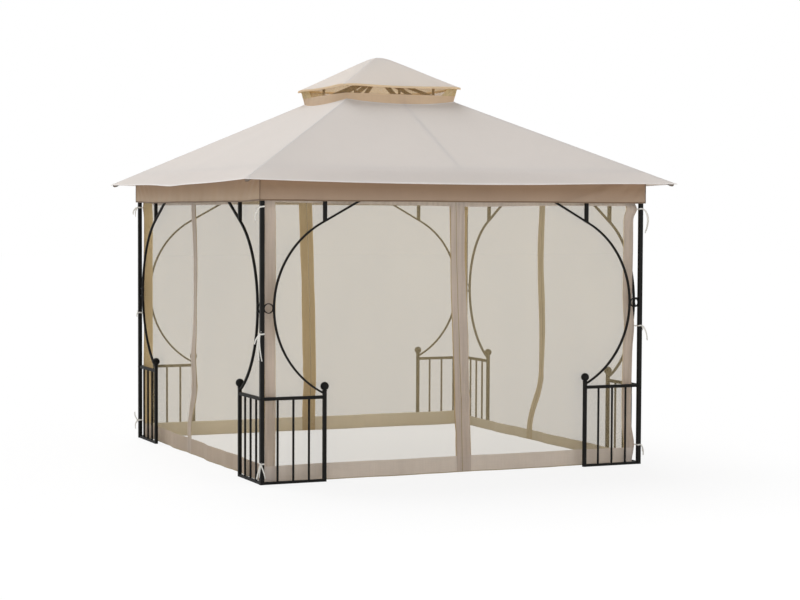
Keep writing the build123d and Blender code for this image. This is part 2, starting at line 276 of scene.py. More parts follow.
def swept(path, across, up, profile, closed=False, size=None):
    """A profile carried along a path: every profile point (a, b) becomes path + a * across + b * up. size
    scales the profile along the path; an open path gets its ends closed by a last ring of no size."""
    size = np.ones(len(path)) if size is None else size
    if not closed:
        ends = np.concatenate([[0], np.arange(len(path)), [len(path) - 1]])
        path, across, up = path[ends], across[ends], up[ends]
        size = np.concatenate([[0.0], size, [0.0]])
    a, b = profile[:, 0], profile[:, 1]
    points = (path[:, None, :] + (size[:, None] * a[None, :])[..., None] * across[:, None, :]
              + (size[:, None] * b[None, :])[..., None] * up[:, None, :])
    return patch(points, closed_u=closed, closed_v=True)


def swept_on_side(side, path, across, up, profile, size=None):
    """A profile carried along a path of the front side, turned to its own side."""
    return swept(turned(path, side), turned(across, side), turned(up, side), profile, size=size)


def oval(width, height, sides, power=2.6):
    """A closed flattened oval: the superellipse |x/w|^p + |y/h|^p = 1 taken at even angles."""
    t = np.linspace(0.0, 2.0 * math.pi, sides, endpoint=False)
    cosine, sine = np.cos(t), np.sin(t)
    return np.stack([np.sign(cosine) * np.abs(cosine) ** (2.0 / power) * width / 2.0,
                     np.sign(sine) * np.abs(sine) ** (2.0 / power) * height / 2.0], axis=1)


def lathe(profile, centre, axis, sides=20):
    """A profile (radius, height) turned round an axis through a centre."""
    axis = unit(np.asarray(axis, dtype=float))
    helper = UP if abs(axis[2]) < 0.9 else np.array([1.0, 0.0, 0.0])
    e1 = unit(np.cross(helper, axis))
    e2 = np.cross(axis, e1)
    t = np.linspace(0.0, 2.0 * math.pi, sides, endpoint=False)
    ring = np.cos(t)[:, None] * e1 + np.sin(t)[:, None] * e2
    points = (np.asarray(centre)[None, None, :] + profile[None, :, 0:1] * ring[:, None, :]
              + profile[None, :, 1:2] * axis[None, None, :])
    return patch(points, closed_u=True)


# Materials

WHITE = (1.0, 1.0, 1.0)
EVEN_SCALE = (1.0, 1.0, 1.0)

# Cloth finishes: the colour they take, how much lighter or darker it is, and what sets them apart from
# plain woven cloth
BAND_WEAVE = {"mottle": 0.06, "streak": 0.12}
HEM_WEAVE = {**BAND_WEAVE, "glow": (0.80, 0.62, 0.40), "glow_share": 0.24, "cover": 0.90}
ROOF_WEAVE = {"mottle": 0.012, "streak": 0.03}
FINISHES = {
    "roof_cloth": ("roof_cloth", 1.0, {**ROOF_WEAVE, "glow": (0.80, 0.66, 0.50), "glow_share": 0.2}),
    "roof_hem_cloth": ("roof_cloth", 1.05, {}),
    "roof_seam_cloth": ("roof_cloth", 0.94, {}),
    # The tip pockets take painted shade for the shadowed undersides of the tips
    "tip_pocket_cloth": ("pocket_cloth", 1.0, {"sheen": 0.0}),
    # The upper tier is the roof cloth made lighter by painted light
    "upper_roof_cloth": ("roof_cloth", 1.09, {**ROOF_WEAVE, "glow": (0.95, 0.76, 0.50), "glow_share": 0.28}),
    "upper_hem_cloth": ("upper_hem", 1.0, {"glow": (0.9, 0.7, 0.4), "glow_share": 0.25}),
    "upper_seam_cloth": ("roof_cloth", 0.97, {}),
    "vent_collar_cloth": ("collar_cloth", 1.0,
                          {"mottle": 0.07, "glow": (0.92, 0.68, 0.34), "glow_share": 0.35, "fold": 0.05}),
    "doubled_netting": ("doubled_net", 1.0, {"mottle": 0.07, "glow": (0.95, 0.75, 0.35), "glow_share": 0.3,
                                             "cover": 0.85, "fold": 0.25}),
    "valance_hem_cloth": ("valance_cloth", 0.62, {}),
    "net_band_cloth": ("band_cloth", 1.0, {**HEM_WEAVE, "fold": 0.22}),
    "net_hem_cloth": ("hem_cloth", 1.0, HEM_WEAVE),
    # The side walls' hems are the hem cloth darkened by painted shade
    "side_hem_cloth": ("side_hem_cloth", 1.0, HEM_WEAVE),
    # The linings' golden and pale colours are painted light let through the bands
    "zip_band_lining": ("lining", 1.0,
                        {**BAND_WEAVE, "glow": (0.85, 0.55, 0.20), "glow_share": 0.3, "fold": 0.15}),
    "side_zip_band_lining": ("side_lining", 1.0,
                             {**BAND_WEAVE, "glow": (0.90, 0.74, 0.48), "glow_share": 0.35, "fold": 0.15}),
    "corner_band_lining": ("corner_lining", 1.0,
                           {**BAND_WEAVE, "glow": (0.98, 0.80, 0.46), "glow_share": 0.5, "cover": 0.9}),
    "hem_lining": ("hem_lining", 1.0,
                   {**BAND_WEAVE, "glow": (0.95, 0.88, 0.72), "glow_share": 0.35, "cover": 0.9}),
    "zip_tape": ("lining", 0.7, {"streak": 0.15, "sheen": 0.0}),
    "tie_tape": ("tape", 1.0,
                 {"pitch": 0.9 * MM, "streak": 0.12, "glow": (0.9975, 0.9765, 0.924), "glow_share": 0.2}),
}


def shader(name):
    """A new node material with its Principled shader."""
    material = bpy.data.materials.new(name)
    material.use_nodes = True
    return material, material.node_tree.nodes["Principled BSDF"]


def node(material, kind, **settings):
    """A new node; settings name its properties, or its inputs where no property has the name."""
    made = material.node_tree.nodes.new(kind)
    for key, value in settings.items():
        if key in made.inputs:
            made.inputs[key].default_value = value
        else:
            setattr(made, key, value)
    return made


def link(material, source, target):
    """Join an output socket to an input socket."""
    material.node_tree.links.new(source, target)


def mapped(material, coordinates, scale):
    """Texture coordinates of the piece, Object or UV, scaled on each axis."""
    source = node(material, "ShaderNodeTexCoord")
    mapping = node(material, "ShaderNodeMapping", Scale=scale)
    link(material, source.outputs[coordinates], mapping.inputs["Vector"])
    return mapping.outputs["Vector"]


def noise(material, vector, scale, detail=3.0, roughness=0.55):
    """A noise texture on a vector."""
    made = node(material, "ShaderNodeTexNoise", Scale=scale, Detail=detail, Roughness=roughness)
    link(material, vector, made.inputs["Vector"])
    return made.outputs["Fac"]


def ramp(material, factor, stops):
    """A factor turned into a colour by a ramp of (place, colour) stops."""
    made = node(material, "ShaderNodeValToRGB")
    elements = made.color_ramp.elements
    elements[0].position, elements[1].position = stops[0][0], stops[-1][0]
    for place, _ in stops[1:-1]:
        elements.new(place)
    for element, (_, shade) in zip(elements, stops):
        element.color = (*shade, 1.0)
    link(material, factor, made.inputs["Fac"])
    return made.outputs["Color"]


def tint(material, factor, dark, light, low=0.3, high=0.7):
    """Two colours blended by a factor between low and high."""
    return ramp(material, factor, ((low, dark), (high, light)))


def multiplied(material, base, shade):
    """One colour times another."""
    mix = node(material, "ShaderNodeMix", data_type="RGBA", blend_type="MULTIPLY")
    mix.inputs["Factor"].default_value = 1.0
    link(material, base, mix.inputs["A"])
    link(material, shade, mix.inputs["B"])
    return mix.outputs["Result"]


def shaded(material, base, factor, darkest, low=0.3, high=0.7):
    """A colour darkened to a share of itself where a factor is low."""
    return multiplied(material, base, tint(material, factor, (darkest,) * 3, WHITE, low, high))


def scaled(shade, factor):
    """A colour made lighter or darker by a factor."""
    return tuple(min(1.0, c * factor) for c in shade)


def ranged(material, factor, low, high):
    """A factor turned into a value between low and high."""
    made = node(material, "ShaderNodeMapRange")
    made.inputs["To Min"].default_value = low
    made.inputs["To Max"].default_value = high
    link(material, factor, made.inputs["Value"])
    return made.outputs["Result"]


def weave_height(material, pitch):
    """Height of a plain weave: the product of sine bands along the two threads, on the cloth's own map.
    At scale 1 the wave texture turns by 20 radians a metre, so each band takes two threads."""
    turn = 20.0
    bands = []
    for direction in ("X", "Y"):
        made = node(material, "ShaderNodeTexWave", wave_type="BANDS", bands_direction=direction,
                    wave_profile="SIN", Scale=1.0 / (pitch * turn) * math.pi, Distortion=0.4, Detail=1.0)
        source = node(material, "ShaderNodeTexCoord")
        link(material, source.outputs["UV"], made.inputs["Vector"])
        bands.append(made.outputs["Fac"])
    product = node(material, "ShaderNodeMath", operation="MULTIPLY")
    link(material, bands[0], product.inputs[0])
    link(material, bands[1], product.inputs[1])
    return product.outputs["Value"]


def bumped(material, principled, height, strength, distance):
    """Bump on a shader from a height."""
    bump = node(material, "ShaderNodeBump", Strength=strength, Distance=distance)
    link(material, height, bump.inputs["Height"])
    link(material, bump.outputs["Normal"], principled.inputs["Normal"])


def painted_shade_down(material, drop, stops):
    """Painted shade that changes down a cloth: a ramp over the way down its own map, as a share of its drop.
    """
    source = node(material, "ShaderNodeTexCoord")
    split = node(material, "ShaderNodeSeparateXYZ")
    link(material, source.outputs["UV"], split.inputs["Vector"])
    share = node(material, "ShaderNodeMath", operation="DIVIDE")
    share.inputs[1].default_value = drop
    link(material, split.outputs["Y"], share.inputs[0])
    return ramp(material, share.outputs["Value"], stops)


def let_through(material, principled, glow, share):
    """Mix a translucent share in a warmer colour into a cloth's shader."""
    through = node(material, "ShaderNodeBsdfTranslucent", Color=(*glow, 1.0))
    mix = node(material, "ShaderNodeMixShader")
    mix.inputs["Fac"].default_value = share
    link(material, principled.outputs["BSDF"], mix.inputs[1])
    link(material, through.outputs["BSDF"], mix.inputs[2])
    output = material.node_tree.nodes["Material Output"]
    link(material, mix.outputs["Shader"], output.inputs["Surface"])


def cloth_material(name, shade, pitch=1.1 * MM, mottle=0.05, streak=0.06, glow=None, glow_share=0.0,
                   sheen=0.15, cover=1.0, down=None, fold=0.0):
    """Woven cloth: soft mottling, thread streaks both ways, a plain weave in the bump and, where the cloth
    lets light through, a translucent share in a warmer colour. down gives a drop and the painted shade down
    it, and fold the depth of the painted soft shadows in its lengthwise folds."""
    cloud_scale, thread_scale, along_scale = 3.2, 420.0, 9.0
    crease_scale = (55.0, 2.2, 1.0)
    material, principled = shader(name)
    soft = noise(material, mapped(material, "Object", EVEN_SCALE), cloud_scale)
    if down is None:
        base = tint(material, soft, scaled(shade, 1.0 - mottle), scaled(shade, 1.0 + mottle))
    else:
        # Painted shade that changes down the cloth, with the mottling on it
        base = shaded(material, painted_shade_down(material, *down), soft, 1.0 - 2.0 * mottle)
    if fold > 0.0:
        creases = noise(material, mapped(material, "UV", crease_scale), 1.0)
        base = shaded(material, base, creases, 1.0 - fold, 0.32, 0.62)
    for scale in ((thread_scale, along_scale, 1.0), (along_scale, thread_scale, 1.0)):
        threads = noise(material, mapped(material, "UV", scale), 1.0, 2.0)
        base = shaded(material, base, threads, 1.0 - streak, 0.25, 0.75)
    link(material, base, principled.inputs["Base Color"])
    link(material, ranged(material, soft, 0.78, 0.92), principled.inputs["Roughness"])
    principled.inputs["Specular IOR Level"].default_value = 0.25
    principled.inputs["Sheen Weight"].default_value = sheen
    principled.inputs["Sheen Roughness"].default_value = 0.6
    principled.inputs["Alpha"].default_value = cover
    bumped(material, principled, weave_height(material, pitch), 0.35, 0.25 * MM)
    if glow is not None:
        let_through(material, principled, glow, glow_share)
    return material


def net_material(name, shade, cover, pitch=1.7 * MM, fine_shade=0.89, weave=0.4):
    """Fine netting: thread colour with streaks along the cloth and lighter crossings, see-through by its
    even cover."""
    cloud_scale, streak_scale = (1.3, 1.3, 0.5), (260.0, 6.0, 1.0)
    gap_shade, crossing_shade = 0.86, 1.42
    material, principled = shader(name)
    soft = noise(material, mapped(material, "Object", cloud_scale), 2.4, 2.0)
    base = tint(material, soft, scaled(shade, 0.93), scaled(shade, 1.06))
    fine = noise(material, mapped(material, "UV", streak_scale), 1.0, 2.0)
    base = shaded(material, base, fine, fine_shade)
    threads = weave_height(material, pitch)
    crossings = tint(material, threads, (gap_shade,) * 3, (crossing_shade,) * 3, 0.0, 1.0)
    link(material, multiplied(material, base, crossings), principled.inputs["Base Color"])
    principled.inputs["Roughness"].default_value = 0.8
    principled.inputs["Specular IOR Level"].default_value = 0.2
    principled.inputs["Alpha"].default_value = cover
    bumped(material, principled, threads, weave, 0.3 * MM)
    return material


def coat_material(name, shade):
    """Satin coating on tube: near-black with faint mottling, and orange peel in the bump."""
    cloud_scale, peel_scale = 9.0, 420.0
    material, principled = shader(name)
    vector = mapped(material, "Object", EVEN_SCALE)
    cloudy = noise(material, vector, cloud_scale, 4.0)
    base = tint(material, cloudy, scaled(shade, 0.8), scaled(shade, 1.35))
    link(material, base, principled.inputs["Base Color"])
    link(material, ranged(material, cloudy, 0.42, 0.56), principled.inputs["Roughness"])
    principled.inputs["Specular IOR Level"].default_value = 0.06
    bumped(material, principled, noise(material, vector, peel_scale, 2.0), 0.12, 0.2 * MM)
    return material


# Roof, vent and valance as surfaces of their front side

# The main roof: depth of the rounded crease where the flap begins and of the fine ripples, how much tauter
# the front eave is, and the left eave's dip and the rise beside it, each with its place and spread
CREASE_DEPTH, CREASE_SPREAD = 2.0 * MM, 0.02
RIPPLE_DEPTH = 0.6 * MM
FRONT_TAUT, FRONT_TAUT_PLACE = 7.0 * MM, (0.66, 0.34)
LEFT_DIP, LEFT_DIP_PLACE = 7.0 * MM, (-0.05, 0.16)
LEFT_RISE, LEFT_RISE_PLACE = 6.0 * MM, (-0.45, 0.25)

# The upper tier: roundness of its hips and apex, lift in mm over the ribs, sag of its edge and slack of its
# sides
TOP_HIP_ROUND, TOP_APEX_ROUND = 70.0 * MM, 30.0 * MM
TOP_LIFT, TOP_EDGE_LIFT = 8.0, 9.5
TOP_EDGE_SAG, TOP_SLACK = 18.0 * MM, 2.0 * MM

# The vent band: how far its upper edge lies inside and below the upper tier's edge, and the sag of that
# edge; the sag of the collar, how far it stands out and how far up it overlaps the netting, as a share; and
# the billow and the folds of the band, in mm
VENT_INSET, VENT_TUCK, VENT_EDGE_SAG = 18.0 * MM, 3.0 * MM, 8.0 * MM
COLLAR_SAG, COLLAR_STAND, COLLAR_OVERLAP = 3.0 * MM, 1.2 * MM, 1.03
VENT_BILLOW, VENT_FOLD = 4.0, 1.4

# The valance: set of its top edge, its waves as (length, share, phase share, slant), and the folds that run
# down from its corner seams
VALANCE_INSET, VALANCE_TUCK = 1.0 * MM, 2.2 * MM
VALANCE_WAVES = ((0.62, 1.0, 1.0, 0.0), (0.27, 0.55, 1.7, 0.0), (0.13, 0.3, 0.6, 2.0))
VALANCE_SWAG, VALANCE_SWAG_LENGTH = 1.5 * MM, 0.9
LEFT_VALANCE_DROP = 6.0 * MM
SEAM_FOLD, SEAM_FOLD_LENGTH, SEAM_FOLD_REACH, SEAM_FOLD_SLANT = 2.2 * MM, 0.105, 0.34, 0.20
FRONT_FOLD, FRONT_FOLD_SPREAD = 11.0 * MM, 0.15
FRONT_FLARE, FRONT_FLARE_SPREAD = 12.0 * MM, 0.32


def roof_z(sizes, half):
    """Height of the main roof plane: the tip height plus the roof's slope times the way in from the tip."""
    slope = (sizes.vent_height - sizes.tip_height) / (sizes.canopy_half - sizes.vent_half)
    return sizes.tip_height + (sizes.canopy_half - half) * slope


def vent_edge(sizes, u):
    """The curved vent edge of the front side, bowed out by a parabola at mid side."""
    vent_y = sizes.vent_half + sizes.vent_bow * (1.0 - u * u)
    return np.stack([u * sizes.vent_half, -vent_y, roof_z(sizes, vent_y)], axis=-1)


def roof_sheet(sizes, u, t, side):
    """Front side of the main roof. u runs from hip to hip (-1 to 1), t from the vent edge to the eave (0 to
    1). Straight lines join the curved vent edge to the flap's start and that to the drooping eave edge, with
    the crease between them rounded; between two rafters the cloth sags by sin^2(pi u) sin(pi t). The left
    eave hangs lowest in a slack dip behind its middle, and the front one is tauter towards its right end."""
    bulge = 1.0 - u * u
    vent = vent_edge(sizes, u)
    start_z = roof_z(sizes, sizes.flap_start)
    start = np.stack([u * sizes.flap_start, -sizes.flap_start + 0.0 * u, start_z + 0.0 * u], axis=-1)
    droop = sizes.flap_droop * bulge
    if SIDES[side] == "front":
        droop = droop - FRONT_TAUT * bell(u, *FRONT_TAUT_PLACE) * (1.0 - u ** 8)
    if SIDES[side] == "left":
        droop = droop + LEFT_DIP * bell(u, *LEFT_DIP_PLACE) - LEFT_RISE * bell(u, *LEFT_RISE_PLACE)
    edge_y = sizes.canopy_half - sizes.flap_draw_in * bulge
    edge = np.stack([u * sizes.canopy_half, -edge_y, sizes.tip_height - droop], axis=-1)
    share = (sizes.flap_start - sizes.vent_half) / (sizes.canopy_half - sizes.vent_half)
    inner = vent + (start - vent) * (t / share)[..., None]
    outer = start + (edge - start) * ((t - share) / (1.0 - share))[..., None]
    points = np.where((t < share)[..., None], inner, outer)
    points[..., 2] -= CREASE_DEPTH * bell(t, share, CREASE_SPREAD) * bulge
    between = np.sin(math.pi * u) ** 2
    points[..., 2] -= sizes.roof_sag * between * np.sin(math.pi * np.clip(t / share, 0.0, 1.0))
    ripple = np.sin(9.0 * u + 4.0 * t) * np.sin(3.0 * t * math.pi) * (1.0 - np.abs(u)) * np.abs(u) * 4.0
    points[..., 2] -= RIPPLE_DEPTH * (ripple + 1.0) * between
    return points


def top_sheet(sizes, u, t):
    """Front side of the upper tier. u runs from hip to hip, t from the apex (0) to the edge (1). The height
    falls with the larger of |x| and |y|, taken as the soft maximum (a + b + sqrt((a - b)^2 + r^2)) / 2 so
    that the hips, more so towards the edge, and the blunt apex are rounded; the edge sags at mid side."""
    slope = (sizes.apex_height - sizes.top_edge_height) / (sizes.top_half - sizes.apex_half)
    half = np.maximum(t, 1e-4) * sizes.top_half
    across = np.abs(u) * half
    spread = smooth(t, 0.0, 0.9)
    soft = (across + half + np.sqrt((half - across) ** 2 + (TOP_HIP_ROUND * spread) ** 2)) / 2.0
    past = soft - sizes.apex_half
    lift = (TOP_LIFT + TOP_EDGE_LIFT * spread) * MM
    z = sizes.apex_height + lift - slope * (past + np.sqrt(past ** 2 + TOP_APEX_ROUND ** 2)) / 2.0
    z = z - TOP_EDGE_SAG * (1.0 - u * u) * t ** 3
    z = z - TOP_SLACK * np.sin(math.pi * u) ** 2 * np.sin(math.pi * t)
    return np.stack([u * half, -half, z], axis=-1)


def vent_top_z(sizes, u):
    """Height of the vent band's upper edge, which sags by a parabola at mid side."""
    return sizes.top_edge_height - VENT_TUCK - VENT_EDGE_SAG * (1.0 - u * u)


def vent_sheet(sizes, u, v):
    """Front side of the vent band. v runs from the curved vent edge (0) up to the underside of the upper
    tier (1); straight lines with a slight billow sin(pi v), and small slack folds."""
    low = vent_edge(sizes, u)
    rise = sizes.top_half - VENT_INSET
    high = np.stack([u * rise, -rise + 0.0 * u, vent_top_z(sizes, u)], axis=-1)
    points = low + (high - low) * v[..., None]
    folds = VENT_FOLD * np.sin(23.0 * u + 5.0 * v) * np.sin(math.pi * np.clip(v, 0, 1))
    points[..., 1] -= MM * (VENT_BILLOW * np.sin(math.pi * v) + folds) * (1.0 - u * u)
    return points


def vent_net_sheet(sizes, u, v):
    """The netted part of the vent band, from the collar's top (0) to the band's upper edge (1)."""
    share = collar_share(sizes, u)
    return vent_sheet(sizes, u, share + (1.0 - share) * v)


def collar_share(sizes, u):
    """The share of the vent band's height that the cloth collar takes at each place along a side."""
    bulge = 1.0 - u * u
    low = roof_z(sizes, sizes.vent_half + sizes.vent_bow * bulge)
    return (sizes.collar_height - COLLAR_SAG * bulge - low) / (vent_top_z(sizes, u) - low)


def stood_out(points, distance):
    """Points of a front side moved outwards in plan, so that neighbouring sides still meet at the corners."""
    points[..., :2] *= (1.0 + distance / np.abs(points[..., 1]))[..., None]
    return points


def collar_sheet(sizes, u, v):
    """The cloth collar: the lower part of the vent band, just outside it and over the netting's foot."""
    return stood_out(vent_sheet(sizes, u, collar_share(sizes, u) * v * COLLAR_OVERLAP), COLLAR_STAND)


def doubled_sheet(sizes, u, v, end, share):
    """The slack netting doubled over a share of a side's length at one end: wider at the collar, in two
    folds, squares of a sine, that fade at the corner."""
    inner_stand, fold_stand, narrowing = 2.0, 4.0, 0.35
    a = (1.0 - u) / 2.0
    place = end * (1.0 - 2.0 * share * a * (1.0 - narrowing * v))
    stand = inner_stand + fold_stand * np.sin(2.0 * math.pi * a + 2.5 * v) ** 2 * smooth(a, 0.0, 0.3)
    return stood_out(vent_net_sheet(sizes, place, v), stand * MM)


def tension_folds(away, v, phase):
    """Slanting folds that run down from a corner seam: a sine of the distance from the seam less a share of
    the way down, damped away from the seam."""
    reach = bell(away, 0.0, SEAM_FOLD_REACH) * smooth(away, 0.0, 0.05)
    return SEAM_FOLD * reach * np.sin(math.pi * v) * wave(away - SEAM_FOLD_SLANT * v, SEAM_FOLD_LENGTH, phase)


def front_folds(x, v):
    """What the front valance has besides its waves: a slanting fold, a bell curve across its line, that runs
    up to the right end, and a flare at the middle of the lower edge."""
    line = 0.95 - 1.40 * (x - 0.78)
    slant = (FRONT_FOLD * bell(v, line, FRONT_FOLD_SPREAD) * smooth(x, 0.55, 0.85)
             * smooth(1.30 - x, 0.0, 0.12))
    flare = (FRONT_FLARE * bell(v, 1.0, FRONT_FLARE_SPREAD) * smooth(x, -0.6, 0.0)
             * smooth(0.9 - x, 0.0, 0.35))
    return slant + flare


def valance_sheet(sizes, u, v, side):
    """Front side of the valance. u runs from corner to corner, v from the roof (0) to the lower edge (1). The
    cloth hangs in slight waves, sums of sines that grow downwards and fade to nothing at the corner seams.
    The left side's lower edge hangs lower between them."""
    phase = 0.9 + 1.9 * side
    out = -float(VALANCE_LOW[1]) - VALANCE_INSET
    x = u * out
    top = roof_z(sizes, out) - VALANCE_TUCK
    z = top + (sizes.valance_bottom - top) * v
    fade = smooth(1.0 - np.abs(u), 0.0, 0.05)
    waves = sum(share * wave(x, period, turn * phase + slant * v)
                for period, share, turn, slant in VALANCE_WAVES)
    depth = sizes.valance_wave * fade * v ** 1.4 * waves * 0.7
    for end in (-1.0, 1.0):
        depth = depth + tension_folds((1.0 - end * u) * out, v, phase + end)
    z = z - VALANCE_SWAG * v * (wave(x, VALANCE_SWAG_LENGTH, phase) + 1.0) * fade * 0.5
    if SIDES[side] == "left":
        z = z - LEFT_VALANCE_DROP * v * smooth(1.0 - np.abs(u), 0.0, 0.3)
    if SIDES[side] == "front":
        depth = depth + front_folds(x, v)
    return np.stack([x, -out - depth, z], axis=-1)


def side_grid(function, n_u, n_t, sides=range(4), materials=(0, 0, 0, 0)):
    """The sides of a square cloth, each the front side's function turned into place. The cloth map runs in
    metres along the side and down the cloth."""
    u, t = np.meshgrid(np.linspace(-1.0, 1.0, n_u), np.linspace(0.0, 1.0, n_t), indexing="ij")
    patches = []
    for side in sides:
        points = function(u, t, side)
        down = np.linalg.norm(np.diff(points, axis=1), axis=-1).mean(axis=0)
        v = np.concatenate([[0.0], np.cumsum(down)])
        uv = np.stack([points[..., 0], np.broadcast_to(v, u.shape)], axis=-1)
        patches.append(patch(turned(points, side), uv, material=materials[side]))
    return patches


def edge_hem(function, side, t_edge, t_inner, width, thick, n=161, hangs=False):
    """A folded hem round a cloth's edge: a flat oval carried along it, set in by a share of its width,
    or hanging straight down from it."""
    inset_share = 0.42
    u = np.linspace(-1.0, 1.0, n)
    edge = function(u, np.full(n, t_edge), side)
    inner = function(u, np.full(n, t_inner), side)
    along = unit(np.gradient(edge, axis=0))
    across = np.tile(-UP, (n, 1)) if hangs else unit(inner - edge)
    up = unit(np.cross(across, along))
    return swept_on_side(side, edge + across * width * inset_share, across, up, oval(width, thick, 14))


def hip_line(function, side, share):
    """Points on a hip, with the directions across it and up from it."""
    path = function(np.full(len(share), -1.0), share, side)
    along = unit(np.gradient(path, axis=0))
    across = unit(np.cross(along, UP))
    return path, across, np.cross(across, along)


def hip_seam(function, side, t_low, t_high, fall, n):
    """A sewn seam along a hip: a thin roof-shaped profile, falling by fall to each side, carried along the
    hip line."""
    width, lift = 4.0 * MM, 0.5 * MM
    path, across, up = hip_line(function, side, np.linspace(t_low, t_high, n))
    x = np.linspace(-1.0, 1.0, 9)
    slope = -np.abs(x) ** 1.2 * fall * width
    upper = np.stack([x * width, slope + lift * (1.0 - x ** 4)], axis=1)
    lower = np.stack([x * width, slope - lift], axis=1)[::-1]
    return swept_on_side(side, path, across, up, np.concatenate([upper, lower]))


def tip_pocket(function, side):
    """The cloth pocket that takes a hip rafter's end under a roof tip: a flat oval carried out along the hip
    below the cloth, narrowing towards the tip."""
    width, height, gap = 27.0 * MM, 23.0 * MM, 5.0 * MM
    share = np.linspace(0.970, 0.987, 24)
    path, across, up = hip_line(function, side, share)
    size = 1.0 - 0.25 * smooth(share, 0.978, 0.988)
    path = path - up * (gap + height / 2.0 * size)[:, None]
    return swept_on_side(side, path, across, up, oval(width, height, 20, 3.4), size)


def valance_seam(function, side, n=40):
    """The seam down a corner of the valance: a small oval carried down it, just outside the cloth."""
    path = function(np.full(n, -1.0), np.linspace(0.02, 1.0, n), side)
    out = unit(np.tile([-1.0, -1.0, 0.0], (n, 1)))
    along = unit(np.tile([1.0, -1.0, 0.0], (n, 1)))
    return swept_on_side(side, path + out * 0.8 * MM, along, out, oval(5.0 * MM, 3.0 * MM, 10))


# Net walls

# How each zip hangs, in metres: its place along the wall at the header, how far it leans over by the foot,
# how far the foot is kicked aside and between which heights, and its bends as (height, shift, spread)
ZIP_HANGS = {
    "front": (0.0, 0.065, 0.0, (0.10, 0.30), ()),
    "right": (-0.025, 0.0, 0.165, (0.08, 0.50), ((0.80, -0.035, 0.35),)),
    "back": (0.045, -0.045, 0.015, (0.10, 0.45), ()),
    "left": (-0.165, 0.0, -0.120, (0.14, 0.50), ((0.68, -0.030, 0.15), (1.30, 0.035, 0.35))),
}
ZIP_HALF_WIDTHS = {"front": 0.049, "right": 0.035, "back": 0.047, "left": 0.043}
ZIP_GAP, ZIP_TOP = 2.5 * MM, 1.75

# Heights of the lower, middle and upper ties, and the reach of each tie's pull up and down the net
TIE_HEIGHTS = (0.130, 0.922, 1.694)
TIE_PULL_SPREADS = (0.09, 0.11, 0.04)

# How far each net corner stands out towards its post, in mm: between the ties, then at the lower, middle
# and upper tie
CORNER_PULLS = (
    (9.0, 14.0, 15.0, 19.0),
    (1.0, 15.0, 11.0, 20.0),
    (-2.0, 14.0, 12.0, 18.0),
    (15.0, 18.0, 18.0, 20.0),
)

# What differs from wall to wall: how much narrower a corner band is, and how high the hem is, as a share
LEFT_BAND_NARROWER, BACK_BAND_NARROWER, RIGHT_HEM_SHARE = 56.0 * MM, 8.0 * MM, 0.70

# The net: how far it hangs in, its folds as (length, share, lean share, phase share), their depth as a share
# of the fold size and how far they are set in, its fine crinkles, and the lifts of the bands off it
NET_SLACK, NET_FOLD_SHARE, NET_FOLD_SET = 1.0 * MM, 0.55, 1.6
NET_FOLDS = ((0.83, 1.0, 1.0, 1.0), (0.37, 0.55, -0.5, 0.0), (0.19, 0.25, 0.3, 2.0))
CRINKLE_LENGTH, CRINKLE_SHARE = 0.071, 0.13
BAND_LIFT, BAND_PLEAT, HEADER_LIFT = 1.1 * MM, 1.5 * MM, 1.6 * MM
LINING_LIFT, LINING_EDGE = -0.5 * MM, 4.5 * MM


def zip_place(sizes, wall, z):
    """Where the zip runs along its wall at each height: a straight lean from the header to the foot, a smooth
    step to the kicked foot, and a bell curve of the height for each bend."""
    top, lean, kick, (low, high), bends = ZIP_HANGS[wall]
    place = top + lean * (1.0 - z / sizes.header_bottom) + kick * (1.0 - smooth(z, low, high))
    for height, shift, spread in bends:
        place = place + shift * bell(z, height, spread)
    return place


def corner_pull(corner, z):
    """How far a net corner stands out towards its post at each height: a base value, with a bell curve of
    the height at each tie."""
    base, *ties = CORNER_PULLS[corner]
    pull = base + 1.5 * np.sin(9.0 * z + corner)
    for height, reach, spread in zip(TIE_HEIGHTS, ties, TIE_PULL_SPREADS):
        pull = pull + (reach - base) * bell(z, height, spread)
    return MM * np.minimum(pull, max(ties))


def net_sheet(sizes, side, x, z, lift=0.0):
    """Front-facing net wall at distance x along it and height z. The net hangs from its header in slack
    folds: sums of upright sines that grow below the header and fade at the corners, which the ties draw to
    the posts; lift moves it outwards."""
    phase = 1.3 * side + 0.4
    grow = smooth(1.86 - z, 0.0, 0.55)
    fade = smooth(sizes.net_half - np.abs(x), 0.0, 0.16)
    lean = 0.22 * np.sin(1.7 * z + phase)
    folds = sum(share * wave(x + tilt * lean, period, turn * phase)
                for period, share, tilt, turn in NET_FOLDS)
    crinkle = wave(x + 0.04 * np.sin(5.0 * z + phase), CRINKLE_LENGTH) * np.sin(3.1 * z + 4.0 * x + phase)
    depth = sizes.net_fold * NET_FOLD_SHARE * grow * fade * (folds + NET_FOLD_SET + CRINKLE_SHARE * crinkle)
    near = smooth(np.abs(x), sizes.net_half - 0.18, sizes.net_half)
    pull = near * np.where(x < 0.0, corner_pull(side, z), corner_pull((side + 1) % 4, z))
    y = -sizes.net_half + (NET_SLACK + depth) - lift - pull
    return np.stack([x + np.sign(x) * pull, y, z + 0.0 * x], axis=-1)


